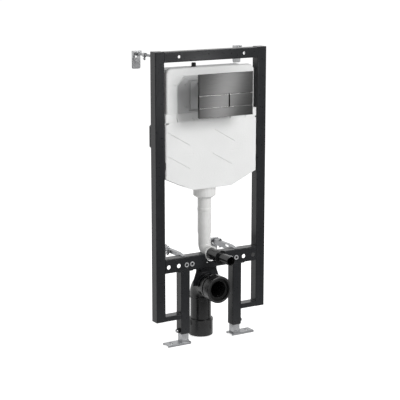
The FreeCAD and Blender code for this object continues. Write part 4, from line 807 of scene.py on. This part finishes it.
def studio_world():
    """White backdrop, for the gloss too, a dim room on the camera's side, and an even soft fill."""
    world = bpy.data.worlds.new("studio")
    world.use_nodes = True
    tree = world.node_tree
    place = tree.nodes.new("ShaderNodeTexCoord").outputs["Generated"]
    room = blended(tree, towards_wall(tree, place, WORLD_TURN), ROOM_DIM, 1.0)
    unseen = blended(tree, share_of_rays(tree, "Is Glossy Ray"), FILL_STRENGTH, room)
    seen = share_of_rays(tree, "Is Camera Ray", "Is Transmission Ray")
    background = tree.nodes["Background"]
    background.inputs["Color"].default_value = WHITE
    tree.links.new(blended(tree, seen, unseen, 1.0), background.inputs["Strength"])
    bpy.context.scene.world = world


def pale_floor():
    """A floor finish that shows white, keeps the shadow and is dimmer in the gloss near the camera."""
    material = bpy.data.materials.new("pale_floor")
    material.use_nodes = True
    tree = material.node_tree
    tree.nodes.clear()
    matt = add_node(tree, "ShaderNodeBsdfDiffuse", {"Color": FLOOR_COLOUR}).outputs[0]
    lift = blended(tree, share_of_rays(tree, "Is Camera Ray", "Is Transmission Ray"), 0.0, FLOOR_LIFT)
    glow = add_node(tree, "ShaderNodeEmission", {"Strength": lift}).outputs[0]
    pale = add_node(tree, "ShaderNodeAddShader", {0: matt, 1: glow}).outputs[0]
    place = tree.nodes.new("ShaderNodeTexCoord").outputs["Object"]
    room = blended(tree, towards_wall(tree, place, FLOOR_TURN), ROOM_DIM, FLOOR_GLOSS)
    mirrored_floor = add_node(tree, "ShaderNodeEmission", {"Strength": room}).outputs[0]
    surface = {0: share_of_rays(tree, "Is Glossy Ray"), 1: pale, 2: mirrored_floor}
    shown = add_node(tree, "ShaderNodeMixShader", surface).outputs[0]
    add_node(tree, "ShaderNodeOutputMaterial", {"Surface": shown})
    return material


def studio_floor():
    """A large pale floor that the part stands on."""
    half = FLOOR_HALF_SIZE
    corners = [(x, y, FLOOR_Z) for x, y in ((-half, -half), (half, -half), (half, half), (-half, half))]
    mesh = bpy.data.meshes.new("floor")
    mesh.from_pydata(corners, [], [(0, 1, 2, 3)])
    mesh.materials.append(pale_floor())
    in_scene("studio_floor", mesh)


def soft_box(name, place, target, width, height, power, roll=0.0, gloss=True, matt=True):
    """An area lamp turned towards a point and rolled about its own axis, for gloss, matt surfaces or both."""
    data = bpy.data.lights.new(name, "AREA")
    data.shape = "RECTANGLE"
    data.size = width
    data.size_y = height
    data.energy = power
    lamp = in_scene(name, data)
    lamp.location = place
    aim = (Vector(target) - Vector(place)).to_track_quat("-Z", "Y")
    lamp.rotation_euler = (aim @ Quaternion((0.0, 0.0, 1.0), math.radians(roll))).to_euler()
    lamp.visible_camera = False
    lamp.visible_glossy = gloss
    lamp.visible_diffuse = matt


studio_world()
studio_floor()
soft_box("front_box", place=(1.3, -3.6, 1.15), target=PART_MIDDLE, width=BOX_SIZE, height=BOX_SIZE,
         power=84.0)
soft_box("back_box", place=(0.5, 3.2, 1.2), target=PART_MIDDLE, width=BOX_SIZE, height=BOX_SIZE, power=40.0,
         gloss=False)
soft_box("plate_box", place=(0.412, -0.60, -0.166), target=(0.213, -0.291, -0.12), width=0.085, height=0.27,
         power=0.38, roll=-15.0, matt=False)

# The camera stands where the photograph was taken from, in front and to the left, and looks a little down.
CAMERA_LENS = 115.97
CAMERA_SENSOR = 36.0
CAMERA_REACH = 100.0
CAMERA_PLACE = (-2.36035, -4.38346, 0.49220)
CAMERA_DIP = 11.872
CAMERA_TURN = -31.148

camera_data = bpy.data.cameras.new("photo_camera")
camera_data.lens = CAMERA_LENS
camera_data.sensor_width = CAMERA_SENSOR
camera_data.clip_end = CAMERA_REACH
camera = in_scene("photo_camera", camera_data)
camera.location = CAMERA_PLACE
camera.rotation_euler = (math.radians(90.0 - CAMERA_DIP), 0.0, math.radians(CAMERA_TURN))
bpy.context.scene.camera = camera

bpy.context.scene.view_settings.view_transform = "Standard"
